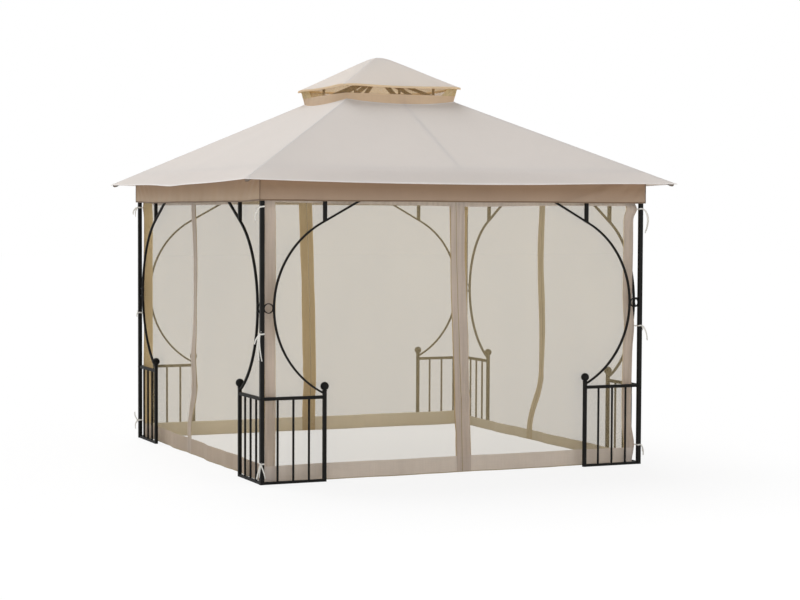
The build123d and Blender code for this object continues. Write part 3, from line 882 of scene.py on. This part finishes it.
class NetWall:
    """One net wall: its limits, and its net, bands and zip as strips and sweeps on the hanging surface."""

    def __init__(self, sizes, side):
        self.sizes = sizes
        self.side = side
        self.wall = SIDES[side]
        self.half = sizes.net_half - 0.5 * MM
        self.low = float(NET_LOW[2])
        self.high = float(NET_HIGH[2]) - 1.0 * MM
        self.zip_half = sizes.zip_band * ZIP_HALF_WIDTHS[self.wall] / ZIP_HALF_WIDTHS["front"]
        self.seam = -0.2 * self.zip_half

    def zip_centre(self, z):
        """The middle of the zip band at each height."""
        return zip_place(self.sizes, self.wall, z)

    def stray(self, z):
        """How far a zip band's edge strays: two sines of the height and a jut where the band is creased."""
        sway = 2.0 * np.sin(8.3 * z + self.side) + 1.2 * np.sin(17.0 * z + 2.0 * self.side)
        return MM * (sway + 5.0 * bell(z, 0.46, 0.04))

    def pleats(self, a, x, z, left):
        """Height of the pleats along a band, as a share: slanting squares of sines and one sharp crease,
        which fade where the band meets the hem and the header."""
        crease_height, crease_slope, fade = 0.47, 0.5, 0.06
        slanting = np.sin(3.0 * math.pi * a + 1.7 * np.sin(2.3 * z)) ** 2 * np.sin(2.1 * z + 0.8) ** 2
        crease = 1.5 * bell(z - crease_height - crease_slope * (x - left), 0.0, 0.022)
        above_hem = smooth(z, self.sizes.hem_height, self.sizes.hem_height + fade)
        return (slanting + crease) * above_hem * smooth(self.sizes.header_bottom - z, 0.0, fade)

    def strip(self, left, right, low, high, n_x, n_z, lift=0.0, pleat=0.0, material=0):
        """A band of the wall between two sets of limits, lifted off the net, with pleats along it. left and
        right may be functions of the height, and low a column of heights along the band."""
        a, b = np.meshgrid(np.linspace(0.0, 1.0, n_x), np.linspace(0.0, 1.0, n_z), indexing="ij")
        z = low + (high - low) * b
        left = left(z) if callable(left) else left
        right = right(z) if callable(right) else right
        x = left + (right - left) * a
        points = net_sheet(self.sizes, self.side, x, z, lift + pleat * self.pleats(a, x, z, left))
        return patch(turned(points, self.side), np.stack([x, z], axis=-1), material=material)

    def net(self):
        """The netting of the whole wall."""
        return self.strip(-self.half, self.half, self.low, self.high, 181, 97)

    def bands(self, edge, lift, pleat, corner_kind, zip_kind, hem_kind):
        """The corner, zip and hem bands of the wall in their own lifts off the net. edge makes the zip bands
        wider, and the corner bands by half of it."""
        half, low, high = self.half, self.low, self.high
        left_width = self.sizes.corner_band - (LEFT_BAND_NARROWER if self.wall == "left" else 0.0)
        right_width = self.sizes.corner_band - (BACK_BAND_NARROWER if self.wall == "back" else 0.0)
        hem_top = self.sizes.hem_height * (RIGHT_HEM_SHARE if self.wall == "right" else 1.0)
        zip_lift, zip_pleat, hem_lift = 2.0 * lift, 1.7 * pleat, 1.45 * lift

        def outer_left(z):
            return self.zip_centre(z) - self.zip_half - edge + 0.6 * self.stray(z + 0.2)

        def inner_left(z):
            return self.zip_centre(z) + self.seam - ZIP_GAP

        def inner_right(z):
            return self.zip_centre(z) + self.seam + ZIP_GAP

        def outer_right(z):
            return self.zip_centre(z) + self.zip_half + edge + self.stray(z)

        return [
            self.strip(-half, -half + left_width + 0.5 * edge, low, high, 13, 121, lift, pleat, corner_kind),
            self.strip(half - right_width - 0.5 * edge, half, low, high, 13, 121, lift, pleat, corner_kind),
            self.strip(outer_left, inner_left, low, high, 11, 121, zip_lift, zip_pleat, zip_kind),
            self.strip(inner_right, outer_right, low, high, 15, 121, zip_lift, zip_pleat, zip_kind),
            self.strip(-half, half, low, hem_top, 241, 9, hem_lift, 0.0, hem_kind),
        ]

    def header(self, n=241):
        """The band at the top of the wall. The front one droops in a swag about its middle, a bell curve; the
        left one hangs lower from its middle to the back and is drawn up at both ends."""
        x = np.linspace(-self.half, self.half, n)
        droop = 0.0 * x
        if self.wall == "left":
            droop = 13.0 - 22.0 * smooth(x, 0.3, 1.25) - 24.0 * smooth(-x, 1.08, 1.18)
        if self.wall == "front":
            droop = (8.0 + 11.0 * bell(x, 0.1, 0.4)) * smooth(x, -1.2, -0.7)
        low = self.sizes.header_bottom - droop * MM
        return self.strip(-self.half, self.half, low[:, None], self.high, n, 9, HEADER_LIFT)

    def zip_coil(self, n=120):
        """The zip's coil: a flat oval carried up the seam."""
        z = np.linspace(self.low + 4.0 * MM, ZIP_TOP, n)
        path = net_sheet(self.sizes, self.side, self.zip_centre(z) + self.seam, z, 2.4 * MM)
        out = np.tile([0.0, -1.0, 0.0], (n, 1))
        across = unit(np.cross(unit(np.gradient(path, axis=0)), out))
        return swept_on_side(self.side, path, across, out, oval(4.5 * MM, 2.2 * MM, 10))

    def foot_binding(self, n=241):
        """The binding along the foot of the wall: a flat oval carried along it."""
        x = np.linspace(-self.half, self.half, n)
        path = net_sheet(self.sizes, self.side, x, np.full(n, self.low + 2.6 * MM), 1.8 * MM)
        out = np.tile([0.0, -1.0, 0.0], (n, 1))
        return swept_on_side(self.side, path, np.tile(UP, (n, 1)), out, oval(5.0 * MM, 3.2 * MM, 10))


# Tape ties

TIE_WIDTH, TIE_THICK = 9.0 * MM, 1.0 * MM
TIE_SIDEWAYS = np.array([0.914, -0.405, 0.0])
TIE_TOWARDS = np.array([-0.405, -0.914, 0.0])
CORNER_SIGNS = ((-1.0, -1.0, 0.0), (1.0, -1.0, 0.0), (1.0, 1.0, 0.0), (-1.0, 1.0, 0.0))

# A post's rounded edge along the diagonal, as a share of its half width
POST_EDGE_SHARE = 1.36

# Each tie's knot, sideways on its post, then its tails as (sideways, downwards, bulge, hump) from the knot,
# and the loops of its bow as (sideways, downwards), all in mm, by corner and level
TIE_TAILS = {
    (0, 2): (-8, ((-34, 86, -6, 4),), ()),
    (0, 1): (-10, ((-34, 62, 0, 0), (12, 166, -14, 0), (-6, 160, -16, 0)), ((8, -26),)),
    (0, 0): (-8, ((-22, 92, 6, 0), (30, 88, -2, 0), (-6, 84, 2, 0)), ((12, -12),)),
    (1, 2): (14, ((15, 159, 28, 4), (20, 146, 30, 4)), ()),
    (1, 1): (14, ((36, 97, 2, 14), (3, 30, 4, 2)), ()),
    (1, 0): (14, ((12, 46, 4, 4), (16, 70, 6, 2)), ()),
    (2, 2): (-4, ((-14, 60, -6, 4), (-22, 74, -8, 4)), ((-10, 20),)),
    (2, 1): (-4, ((-24, 70, -10, 4), (-8, 92, -6, 2)), ()),
    (2, 0): (10, ((22, 76, 10, 4), (-16, 90, -10, 4)), ((14, 22),)),
    (3, 2): (-14, ((-32, 52, -10, 2), (-14, 68, -8, 2)), ((-20, 20),)),
    (3, 1): (-12, ((-8, 30, -4, 4),), ((-8, -30),)),
    (3, 0): (-13, ((-24, -62, -6, 0), (-16, 66, -12, 2)), ((-14, 26),)),
}


def bezier(a, b, c, d, n):
    """Points on a cubic Bezier curve."""
    t = np.linspace(0.0, 1.0, n)[:, None]
    return (1 - t) ** 3 * a + 3 * (1 - t) ** 2 * t * b + 3 * (1 - t) * t ** 2 * c + t ** 3 * d


def ribbon(points, sides):
    """The flat tape along a path: a flat oval profile with its width along the given side vectors."""
    along = unit(np.gradient(points, axis=0))
    across = unit(sides - np.sum(sides * along, axis=-1, keepdims=True) * along)
    return swept(points, across, np.cross(along, across), oval(TIE_WIDTH, TIE_THICK, 10, 4.0))


def from_knot(knot, across, drop, towards):
    """A point at so many mm sideways, downwards and towards the front left from a knot."""
    return knot + (TIE_SIDEWAYS * across - UP * drop) * MM + TIE_TOWARDS * towards * MM


def tie_loop(post, corner, level, n=56):
    """The closed loop round a post: a superellipse close to the post's square, slightly tilted."""
    power = 9
    t = np.linspace(0.0, 2.0 * math.pi, n, endpoint=False)
    square = (np.abs(np.cos(t)) ** power + np.abs(np.sin(t)) ** power) ** (1.0 / power)
    reach = (POST_HALF + 1.0 * MM) / square
    tilt = 2.0 * MM * np.sin(t + corner + level)
    loop = post + np.stack([np.cos(t) * reach, np.sin(t) * reach, tilt], axis=1)
    along = unit(np.roll(loop, -1, axis=0) - np.roll(loop, 1, axis=0))
    upright = np.tile(UP, (n, 1))
    return swept(loop, upright, np.cross(along, upright), oval(TIE_WIDTH, TIE_THICK, 10, 4.0), True)


def tie_strip(sizes, post, corner, height, n=10):
    """The short strip from a post's inner edge to the net corner, sagging a little."""
    inward = -np.array(CORNER_SIGNS[corner]) / math.sqrt(2.0)
    start = post + inward * POST_HALF * POST_EDGE_SHARE
    end = post + inward * (HALF_SPACING - sizes.net_half - corner_pull(corner, height)) * math.sqrt(2.0)
    reach, sag = inward * 5.0 * MM, UP * 3.0 * MM
    return ribbon(bezier(start, start + reach - sag, end - reach - sag, end, n), np.tile(UP, (n, 1)))


def tie_knot(knot, level):
    """The knot: a slightly lumpy ball turned round a leaning axis."""
    angle = np.linspace(-math.pi / 2.0, math.pi / 2.0, 11)
    radius = np.cos(angle) * (5.0 + 0.6 * np.cos(5.0 * angle)) * MM
    lump = np.stack([radius, np.sin(angle) * 5.5 * MM], axis=1)
    return lathe(lump, knot, (0.3 * (level - 1), 0.25, 1.0), 16)


def tie(sizes, corner, level, n=26):
    """One tie: the loop round the post, the strip to the net corner, the knot, and the tails and bow loops
    that hang from it, each a cubic Bezier curve in the plane seen from the front left."""
    height = TIE_HEIGHTS[level]
    post = np.array(CORNER_SIGNS[corner]) * HALF_SPACING + UP * height
    offset, tails, bows = TIE_TAILS[(corner, level)]
    place = np.clip(offset * MM, -POST_HALF * 1.1, POST_HALF * 1.1)
    knot = post + TIE_SIDEWAYS * place
    knot = knot + TIE_TOWARDS * (POST_HALF * POST_EDGE_SHARE + 2.0 * MM - 0.45 * abs(place))
    parts = [tie_loop(post, corner, level), tie_strip(sizes, post, corner, height), tie_knot(knot, level)]
    for index, (across, drop, bulge, hump) in enumerate(tails):
        first = from_knot(knot, 0.3 * across + bulge, 0.15 * drop - hump, 5.0)
        second = from_knot(knot, 0.9 * across + bulge, 0.55 * drop - hump, 6.0)
        last = from_knot(knot, across, drop, 3.0 + 4.0 * index)
        turn = np.linspace(-0.3, 0.5 + 0.3 * index, n)[:, None]
        faces = np.cos(turn) * TIE_SIDEWAYS + np.sin(turn) * TIE_TOWARDS
        parts.append(ribbon(bezier(knot, first, second, last, n), faces))
    for across, drop in bows:
        first = from_knot(knot, 1.5 * across, -0.3 * drop, 6.0)
        second = from_knot(knot, 1.1 * across, 1.7 * drop, 3.0)
        last = from_knot(knot, 0.0, 2.0, 0.0)
        parts.append(ribbon(bezier(knot, first, second, last, n), np.tile(TIE_TOWARDS, (n, 1))))
    return parts


# Operators

class GazeboOperator:
    """What the gazebo's operators share."""

    bl_options = {"REGISTER"}

    @staticmethod
    def sizes(context):
        """The sizes set on the scene."""
        return context.scene.gazebo_sizes

    @staticmethod
    def colours(context):
        """The colours set on the scene."""
        return context.scene.gazebo_colours

    def finish(self, context, name):
        """A cloth finish by its name."""
        source, factor, settings = FINISHES[name]
        return cloth_material(name, scaled(getattr(self.colours(context), source), factor), **settings)


class GAZEBO_OT_frame_coat(GazeboOperator, bpy.types.Operator):
    """Give the tubes of the frame their satin near-black coating"""

    bl_idname = "gazebo.frame_coat"
    bl_label = "Coat the frame"

    def execute(self, context):
        coat = coat_material("frame_coat", tuple(self.colours(context).frame_coat))
        for name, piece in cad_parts.items():
            if name.startswith(FRAME_NODES):
                piece.data.materials.clear()
                piece.data.materials.append(coat)
        return {"FINISHED"}


class GAZEBO_OT_main_canopy(GazeboOperator, bpy.types.Operator):
    """Stretch the main roof cloth over the rafters, with its hip seams, hems and tip pockets"""

    bl_idname = "gazebo.main_canopy"
    bl_label = "Main roof cloth"

    def execute(self, context):
        sizes = self.sizes(context)
        below = (0.0, 0.0, 1.0)
        hem_cloth = self.finish(context, "roof_hem_cloth")

        def sheet(u, t, side):
            return roof_sheet(sizes, u, t, side)

        roof = cloth_piece("canopy_cloth", side_grid(sheet, 121, 97), [self.finish(context, "roof_cloth")],
                           below, CLOTH_WELD)
        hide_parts(*(f"canopy_{side}" for side in SIDES))
        trims = {
            "canopy_hip_seams": ([hip_seam(sheet, side, 0.004, 0.996, 0.34, 120) for side in range(4)],
                                 self.finish(context, "roof_seam_cloth")),
            "canopy_eave_hem": ([edge_hem(sheet, side, 1.0, 0.985, 15.0 * MM, 3.6 * MM) for side in range(4)],
                                hem_cloth),
            "canopy_vent_hem": ([edge_hem(sheet, side, 0.0, 0.015, 12.0 * MM, 3.2 * MM) for side in range(4)],
                                hem_cloth),
            "canopy_tip_pockets": ([tip_pocket(sheet, side) for side in range(4)],
                                   self.finish(context, "tip_pocket_cloth")),
        }
        pieces = [trim_piece(name, parts, cloth) for name, (parts, cloth) in trims.items()]
        return {"FINISHED"}


class GAZEBO_OT_top_canopy(GazeboOperator, bpy.types.Operator):
    """Lay the small upper roof cloth over its ribs, with hip seams and a warm hem"""

    bl_idname = "gazebo.top_canopy"
    bl_label = "Upper roof cloth"

    def execute(self, context):
        sizes = self.sizes(context)
        below = (0.0, 0.0, 2.2)

        def sheet(u, t, side):
            return top_sheet(sizes, u, t)

        roof = cloth_piece("canopy_top_cloth", side_grid(sheet, 61, 61),
                           [self.finish(context, "upper_roof_cloth")], below, CORNER_WELD)
        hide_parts("canopy_top")
        strips = [hip_seam(sheet, side, 0.12, 0.99, 0.36, 80) for side in range(4)]
        seams = trim_piece("canopy_top_seams", strips, self.finish(context, "upper_seam_cloth"))
        hems = [edge_hem(sheet, side, 1.0, 0.97, 14.0 * MM, 4.0 * MM, 81, True) for side in range(4)]
        hem = trim_piece("canopy_top_hem", hems, self.finish(context, "upper_hem_cloth"))
        return {"FINISHED"}


class GAZEBO_OT_vent(GazeboOperator, bpy.types.Operator):
    """Close the vent with a cloth collar, a band of netting above it and doubled netting at three corners"""

    bl_idname = "gazebo.vent"
    bl_label = "Vent collar and net"

    cover = 0.50
    doubled_shares = {1: 0.14, 2: 0.14, 3: 0.30}

    def execute(self, context):
        sizes = self.sizes(context)
        middle = (0.0, 0.0, 2.45)
        thread = tuple(self.colours(context).vent_thread)
        netting = net_material("vent_netting", thread, self.cover, fine_shade=0.97, weave=0.15)
        sides = side_grid(lambda u, v, _: vent_net_sheet(sizes, u, v), 81, 21)
        band = cloth_piece("vent_netting", sides, [netting], middle, CLOTH_WELD)
        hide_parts("vent_net")
        parts = side_grid(lambda u, v, _: collar_sheet(sizes, u, v), 81, 15)
        for corner, share in self.doubled_shares.items():
            for side, end in ((corner, -1.0), (corner - 1, 1.0)):
                parts += side_grid(lambda u, v, _: doubled_sheet(sizes, u, v, end, share), 25, 15, [side],
                                   (1, 1, 1, 1))
        cloths = [self.finish(context, "vent_collar_cloth"), self.finish(context, "doubled_netting")]
        collar = cloth_piece("vent_collar", parts, cloths, middle, CLOTH_WELD)
        return {"FINISHED"}


class GAZEBO_OT_valance(GazeboOperator, bpy.types.Operator):
    """Hang the taupe valance from the roof just outside the posts"""

    bl_idname = "gazebo.valance"
    bl_label = "Valance"

    # Painted shade of the cloth at three shares of its drop, as shares of its colour, darker under the roof's
    # overhang and lighter towards the lower edge: front and back, then the sides with their own painted shade
    painted_shade_places = (0.15, 0.6, 0.95)
    painted_shades = {
        "valance_cloth": ((1.03, 0.95, 0.92), (1.0, 1.0, 1.0), (1.28, 1.39, 1.57)),
        "side_valance_cloth": ((0.87, 0.77, 0.65), (1.16, 1.13, 1.02), (1.53, 1.67, 1.77)),
    }

    def painted_shade_cloth(self, context, name):
        """The valance cloth with painted shade down it, darker under the roof's overhang."""
        base = tuple(self.colours(context).valance_cloth)
        drop = float(VALANCE_HIGH[2] - VALANCE_LOW[2])
        stops = [tuple(c * k for c, k in zip(base, shade)) for shade in self.painted_shades[name]]
        down = (drop, tuple(zip(self.painted_shade_places, stops)))
        return cloth_material(name, base, mottle=0.05, streak=0.05, down=down)

    def execute(self, context):
        sizes = self.sizes(context)
        middle = (0.0, 0.0, 1.83)

        def sheet(u, v, side):
            return valance_sheet(sizes, u, v, side)

        cloths = [self.painted_shade_cloth(context, name) for name in self.painted_shades]
        band = cloth_piece("valance_cloth", side_grid(sheet, 241, 25, materials=(0, 1, 0, 1)), cloths,
                           middle, CORNER_WELD, 0.8 * MM)
        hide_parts("valance")
        parts = [edge_hem(sheet, side, 1.0, 0.9, 9.0 * MM, 2.6 * MM, 241) for side in range(4)]
        parts += [valance_seam(sheet, side) for side in range(4)]
        hem = trim_piece("valance_hem", parts, self.finish(context, "valance_hem_cloth"))
        return {"FINISHED"}


class GAZEBO_OT_ties(GazeboOperator, bpy.types.Operator):
    """Knot the tape ties that hold the net corners to the posts"""

    bl_idname = "gazebo.ties"
    bl_label = "Tape ties"

    def execute(self, context):
        sizes = self.sizes(context)
        parts = [part for corner in range(4) for level in range(3) for part in tie(sizes, corner, level)]
        ties = trim_piece("net_tie_tapes", parts, self.finish(context, "tie_tape"))
        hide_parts("net_ties")
        return {"FINISHED"}


class GAZEBO_OT_net_walls(GazeboOperator, bpy.types.Operator):
    """Hang the four net walls with their header, corner, hem and zip bands"""

    bl_idname = "gazebo.net_walls"
    bl_label = "Net walls"

    cover = 0.365

    def execute(self, context):
        sizes = self.sizes(context)
        middle = (0.0, 0.0, 0.9)
        netting = net_material("wall_netting", tuple(self.colours(context).net_thread), self.cover)
        cloth = {name: self.finish(context, name) for name in (
            "net_band_cloth", "net_hem_cloth", "side_hem_cloth", "zip_band_lining", "side_zip_band_lining",
            "corner_band_lining", "hem_lining", "zip_tape")}
        for side, wall in enumerate(SIDES):
            made = NetWall(sizes, side)
            sideways = wall in ("left", "right")
            net = cloth_piece(f"net_{wall}", [made.net()], [netting], middle)
            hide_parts(f"net_wall_{wall}")
            outer = made.bands(0.0, BAND_LIFT, BAND_PLEAT, 0, 0, 1) + [made.header()]
            # The side walls take the hem cloth with painted shade
            cloths = [cloth["net_band_cloth"], cloth["side_hem_cloth" if sideways else "net_hem_cloth"]]
            band = cloth_piece(f"net_{wall}_bands", outer, cloths, middle)
            # The inner faces take linings whose colours are painted light let through the bands, paler on the
            # side walls
            zip_lining = cloth["side_zip_band_lining" if sideways else "zip_band_lining"]
            linings = [zip_lining, cloth["corner_band_lining"], cloth["hem_lining"]]
            inner = made.bands(LINING_EDGE, LINING_LIFT, 0.0, 1, 0, 2)
            lining = cloth_piece(f"net_{wall}_linings", inner, linings, middle)
            zipper = trim_piece(f"net_{wall}_zip", [made.zip_coil(), made.foot_binding()], cloth["zip_tape"])
        return {"FINISHED"}


class GAZEBO_OT_hardware(GazeboOperator, bpy.types.Operator):
    """Add the bolts of the frame and the collars under the balls"""

    bl_idname = "gazebo.hardware"
    bl_label = "Bolts and collars"

    # Outlines as (radius, height) in mm: a domed bolt head and a rounded collar
    dome = ((0.0, 4.2), (2.0, 4.0), (4.0, 3.2), (5.4, 1.8), (6.0, 0.4), (6.0, -0.6), (0.0, -0.6))
    collar = ((0.0, -4.0), (13.0, -4.0), (15.0, -3.2), (16.0, -1.0), (14.4, 1.6), (11.0, 2.8), (0.0, 2.8))

    @staticmethod
    def turned_lathe(outline, place, axis, sides, side):
        """A turned shape at a place of the front side, turned to its own side."""
        made = lathe(np.array(outline) * MM, np.array(place, dtype=float), axis, sides)
        return patch(turned(made["points"], side), made["uv"], True)

    def execute(self, context):
        coat = coat_material("hardware_coat", scaled(self.colours(context).frame_coat, 1.4))
        outside = -HALF_SPACING - POST_HALF
        heads = []
        for corner in range(4):
            for height in (TOP_RAIL_HEIGHT, float(BEAM_LOW[2] + BEAM_HIGH[2]) / 2):
                for axis, place in (((-1, 0, 0), (outside, -HALF_SPACING, height)),
                                    ((0, -1, 0), (-HALF_SPACING, outside, height))):
                    heads.append(self.turned_lathe(self.dome, place, axis, 16, corner))
        trim_piece("frame_bolts", heads, coat)
        collar_height = float(FENCE_HIGH[2]) - 2.0 * BALL_RADIUS
        ball_x = float(FENCE_HIGH[0]) - BALL_RADIUS
        rings = [self.turned_lathe(self.collar, (x, -HALF_SPACING, collar_height), (0, 0, 1), 24, side)
                 for side in range(4) for x in (ball_x, -ball_x)]
        trim_piece("ball_collars", rings, coat)
        return {"FINISHED"}


# Stage: floor, light and the photograph's view, with the image taken as 800 pixels wide

FLOOR_REACH = 60.0
FLOOR_GREY, FLOOR_WHITE_SHARE = 0.898, 0.85
SKY_LIGHT, SKY_SEEN = 0.54, 1.0
KEY_POWER, KEY_SPREAD, KEY_FROM = 2.2, math.radians(45.0), (-0.08, 0.57, 0.82)
SOFTBOX_POWER, SOFTBOX_SIZE = 60.0, (9.0, 1.4)
SOFTBOX_PLACE, SOFTBOX_FROM = (0.6, -6.2, 0.75), (0.0, -1.0, 0.02)
VIEW_YAW, VIEW_PITCH, VIEW_ROLL = 0.4163, -0.0447, 0.0045
VIEW_PLACE = np.array([-5.1981, -12.1527, 1.6450])
VIEW_FOCAL_PIXELS, VIEW_WIDTH_PIXELS = 1891.98, 800.0
SENSOR_WIDTH, VIEW_REACH = 36.0, 200.0


def seen_directly(tree):
    """1 for the camera's own rays and for those that reach it through gloss or transmission, else 0."""
    path = tree.nodes.new("ShaderNodeLightPath")
    value = path.outputs["Is Camera Ray"]
    for name in ("Is Glossy Ray", "Is Transmission Ray"):
        either = tree.nodes.new("ShaderNodeMath")
        either.operation = "MAXIMUM"
        tree.links.new(value, either.inputs[0])
        tree.links.new(path.outputs[name], either.inputs[1])
        value = either.outputs["Value"]
    return value


class GAZEBO_OT_stage(GazeboOperator, bpy.types.Operator):
    """Set the pale floor, the soft studio light and the camera"""

    bl_idname = "gazebo.stage"
    bl_label = "Floor, light and camera"

    def execute(self, context):
        scene = context.scene
        scene.view_settings.view_transform = "Standard"
        self.floor(scene)
        self.light(scene)
        self.camera(scene)
        return {"FINISHED"}

    def floor(self, scene):
        """A plain square floor."""
        r = FLOOR_REACH
        mesh = bpy.data.meshes.new("stage_floor")
        mesh.from_pydata([(-r, -r, 0), (r, -r, 0), (r, r, 0), (-r, r, 0)], [], [(0, 1, 2, 3)])
        mesh.materials.append(self.floor_material())
        floor = bpy.data.objects.new("stage_floor", mesh)
        scene.collection.objects.link(floor)

    @staticmethod
    def floor_material():
        """A pale floor that takes soft shadows and looks nearly white where it is seen directly."""
        material, principled = shader("stage_floor")
        principled.inputs["Base Color"].default_value = (FLOOR_GREY, FLOOR_GREY, FLOOR_GREY, 1.0)
        principled.inputs["Roughness"].default_value = 0.9
        principled.inputs["Specular IOR Level"].default_value = 0.1
        glow = node(material, "ShaderNodeEmission", Strength=1.0)
        share = node(material, "ShaderNodeMath", operation="MULTIPLY")
        share.inputs[1].default_value = FLOOR_WHITE_SHARE
        link(material, seen_directly(material.node_tree), share.inputs[0])
        mix = node(material, "ShaderNodeMixShader")
        link(material, share.outputs["Value"], mix.inputs["Fac"])
        link(material, principled.outputs["BSDF"], mix.inputs[1])
        link(material, glow.outputs["Emission"], mix.inputs[2])
        link(material, mix.outputs["Shader"], material.node_tree.nodes["Material Output"].inputs["Surface"])
        return material

    @staticmethod
    def light(scene):
        """An even pale sky, white where it is seen directly, a broad soft lamp from above and behind, and a
        low softbox in front."""
        world = bpy.data.worlds.new("studio")
        scene.world = world
        world.use_nodes = True
        tree = world.node_tree
        sky = tree.nodes["Background"]
        sky.inputs["Color"].default_value = (1.0, 1.0, 1.0, 1.0)
        strength = tree.nodes.new("ShaderNodeMapRange")
        strength.inputs["To Min"].default_value = SKY_LIGHT
        strength.inputs["To Max"].default_value = SKY_SEEN
        tree.links.new(seen_directly(tree), strength.inputs["Value"])
        tree.links.new(strength.outputs["Result"], sky.inputs["Strength"])
        lamp = bpy.data.lights.new("key", "SUN")
        lamp.energy = KEY_POWER
        lamp.angle = KEY_SPREAD
        key = bpy.data.objects.new("key", lamp)
        scene.collection.objects.link(key)
        key.rotation_euler = Vector(KEY_FROM).to_track_quat("Z", "Y").to_euler()
        soft = bpy.data.lights.new("low_softbox", "AREA")
        soft.shape = "RECTANGLE"
        soft.size, soft.size_y = SOFTBOX_SIZE
        soft.energy = SOFTBOX_POWER
        box = bpy.data.objects.new("low_softbox", soft)
        scene.collection.objects.link(box)
        box.location = SOFTBOX_PLACE
        box.rotation_euler = Vector(SOFTBOX_FROM).to_track_quat("Z", "Y").to_euler()
        box.visible_camera = False

    @staticmethod
    def camera(scene):
        """The photograph's view: yaw, pitch and roll turned into right, up and forward axes."""
        forward = np.array([math.sin(VIEW_YAW), math.cos(VIEW_YAW), 0.0])
        right = np.array([math.cos(VIEW_YAW), -math.sin(VIEW_YAW), 0.0])
        forward, up = (forward * math.cos(VIEW_PITCH) + UP * math.sin(VIEW_PITCH),
                       UP * math.cos(VIEW_PITCH) - forward * math.sin(VIEW_PITCH))
        right, up = (right * math.cos(VIEW_ROLL) + up * math.sin(VIEW_ROLL),
                     up * math.cos(VIEW_ROLL) - right * math.sin(VIEW_ROLL))
        lens = bpy.data.cameras.new("camera")
        lens.sensor_width = SENSOR_WIDTH
        lens.lens = SENSOR_WIDTH * VIEW_FOCAL_PIXELS / VIEW_WIDTH_PIXELS
        lens.clip_end = VIEW_REACH
        camera = bpy.data.objects.new("camera", lens)
        scene.collection.objects.link(camera)
        matrix = Matrix.Identity(4)
        for row in range(3):
            matrix[row][:] = right[row], up[row], -forward[row], VIEW_PLACE[row]
        camera.matrix_world = matrix
        scene.camera = camera


PIECE_OPERATORS = (
    GAZEBO_OT_frame_coat,
    GAZEBO_OT_main_canopy,
    GAZEBO_OT_top_canopy,
    GAZEBO_OT_vent,
    GAZEBO_OT_valance,
    GAZEBO_OT_ties,
    GAZEBO_OT_net_walls,
    GAZEBO_OT_hardware,
    GAZEBO_OT_stage,
)


class GAZEBO_PT_pieces(bpy.types.Panel):
    """The gazebo's pieces, sizes and colours in the sidebar"""

    bl_label = "Gazebo"
    bl_idname = "GAZEBO_PT_pieces"
    bl_space_type = "VIEW_3D"
    bl_region_type = "UI"
    bl_category = "Gazebo"

    def draw(self, context):
        for operator in PIECE_OPERATORS:
            self.layout.operator(operator.bl_idname)
        for group in (context.scene.gazebo_sizes, context.scene.gazebo_colours):
            column = self.layout.column()
            for name in group.__annotations__:
                column.prop(group, name)


CLASSES = (GazeboSizes, GazeboColours, *PIECE_OPERATORS, GAZEBO_PT_pieces)


def register():
    """Add the gazebo's classes and its settings on the scene."""
    for cls in CLASSES:
        bpy.utils.register_class(cls)
    bpy.types.Scene.gazebo_sizes = PointerProperty(type=GazeboSizes)
    bpy.types.Scene.gazebo_colours = PointerProperty(type=GazeboColours)


def unregister():
    """Take the classes and settings away again."""
    del bpy.types.Scene.gazebo_colours
    del bpy.types.Scene.gazebo_sizes
    for cls in reversed(CLASSES):
        bpy.utils.unregister_class(cls)


def main():
    """Register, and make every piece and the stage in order."""
    register()
    for operator in PIECE_OPERATORS:
        group, name = operator.bl_idname.split(".")
        getattr(getattr(bpy.ops, group), name)()


if __name__ == "__main__":
    main()
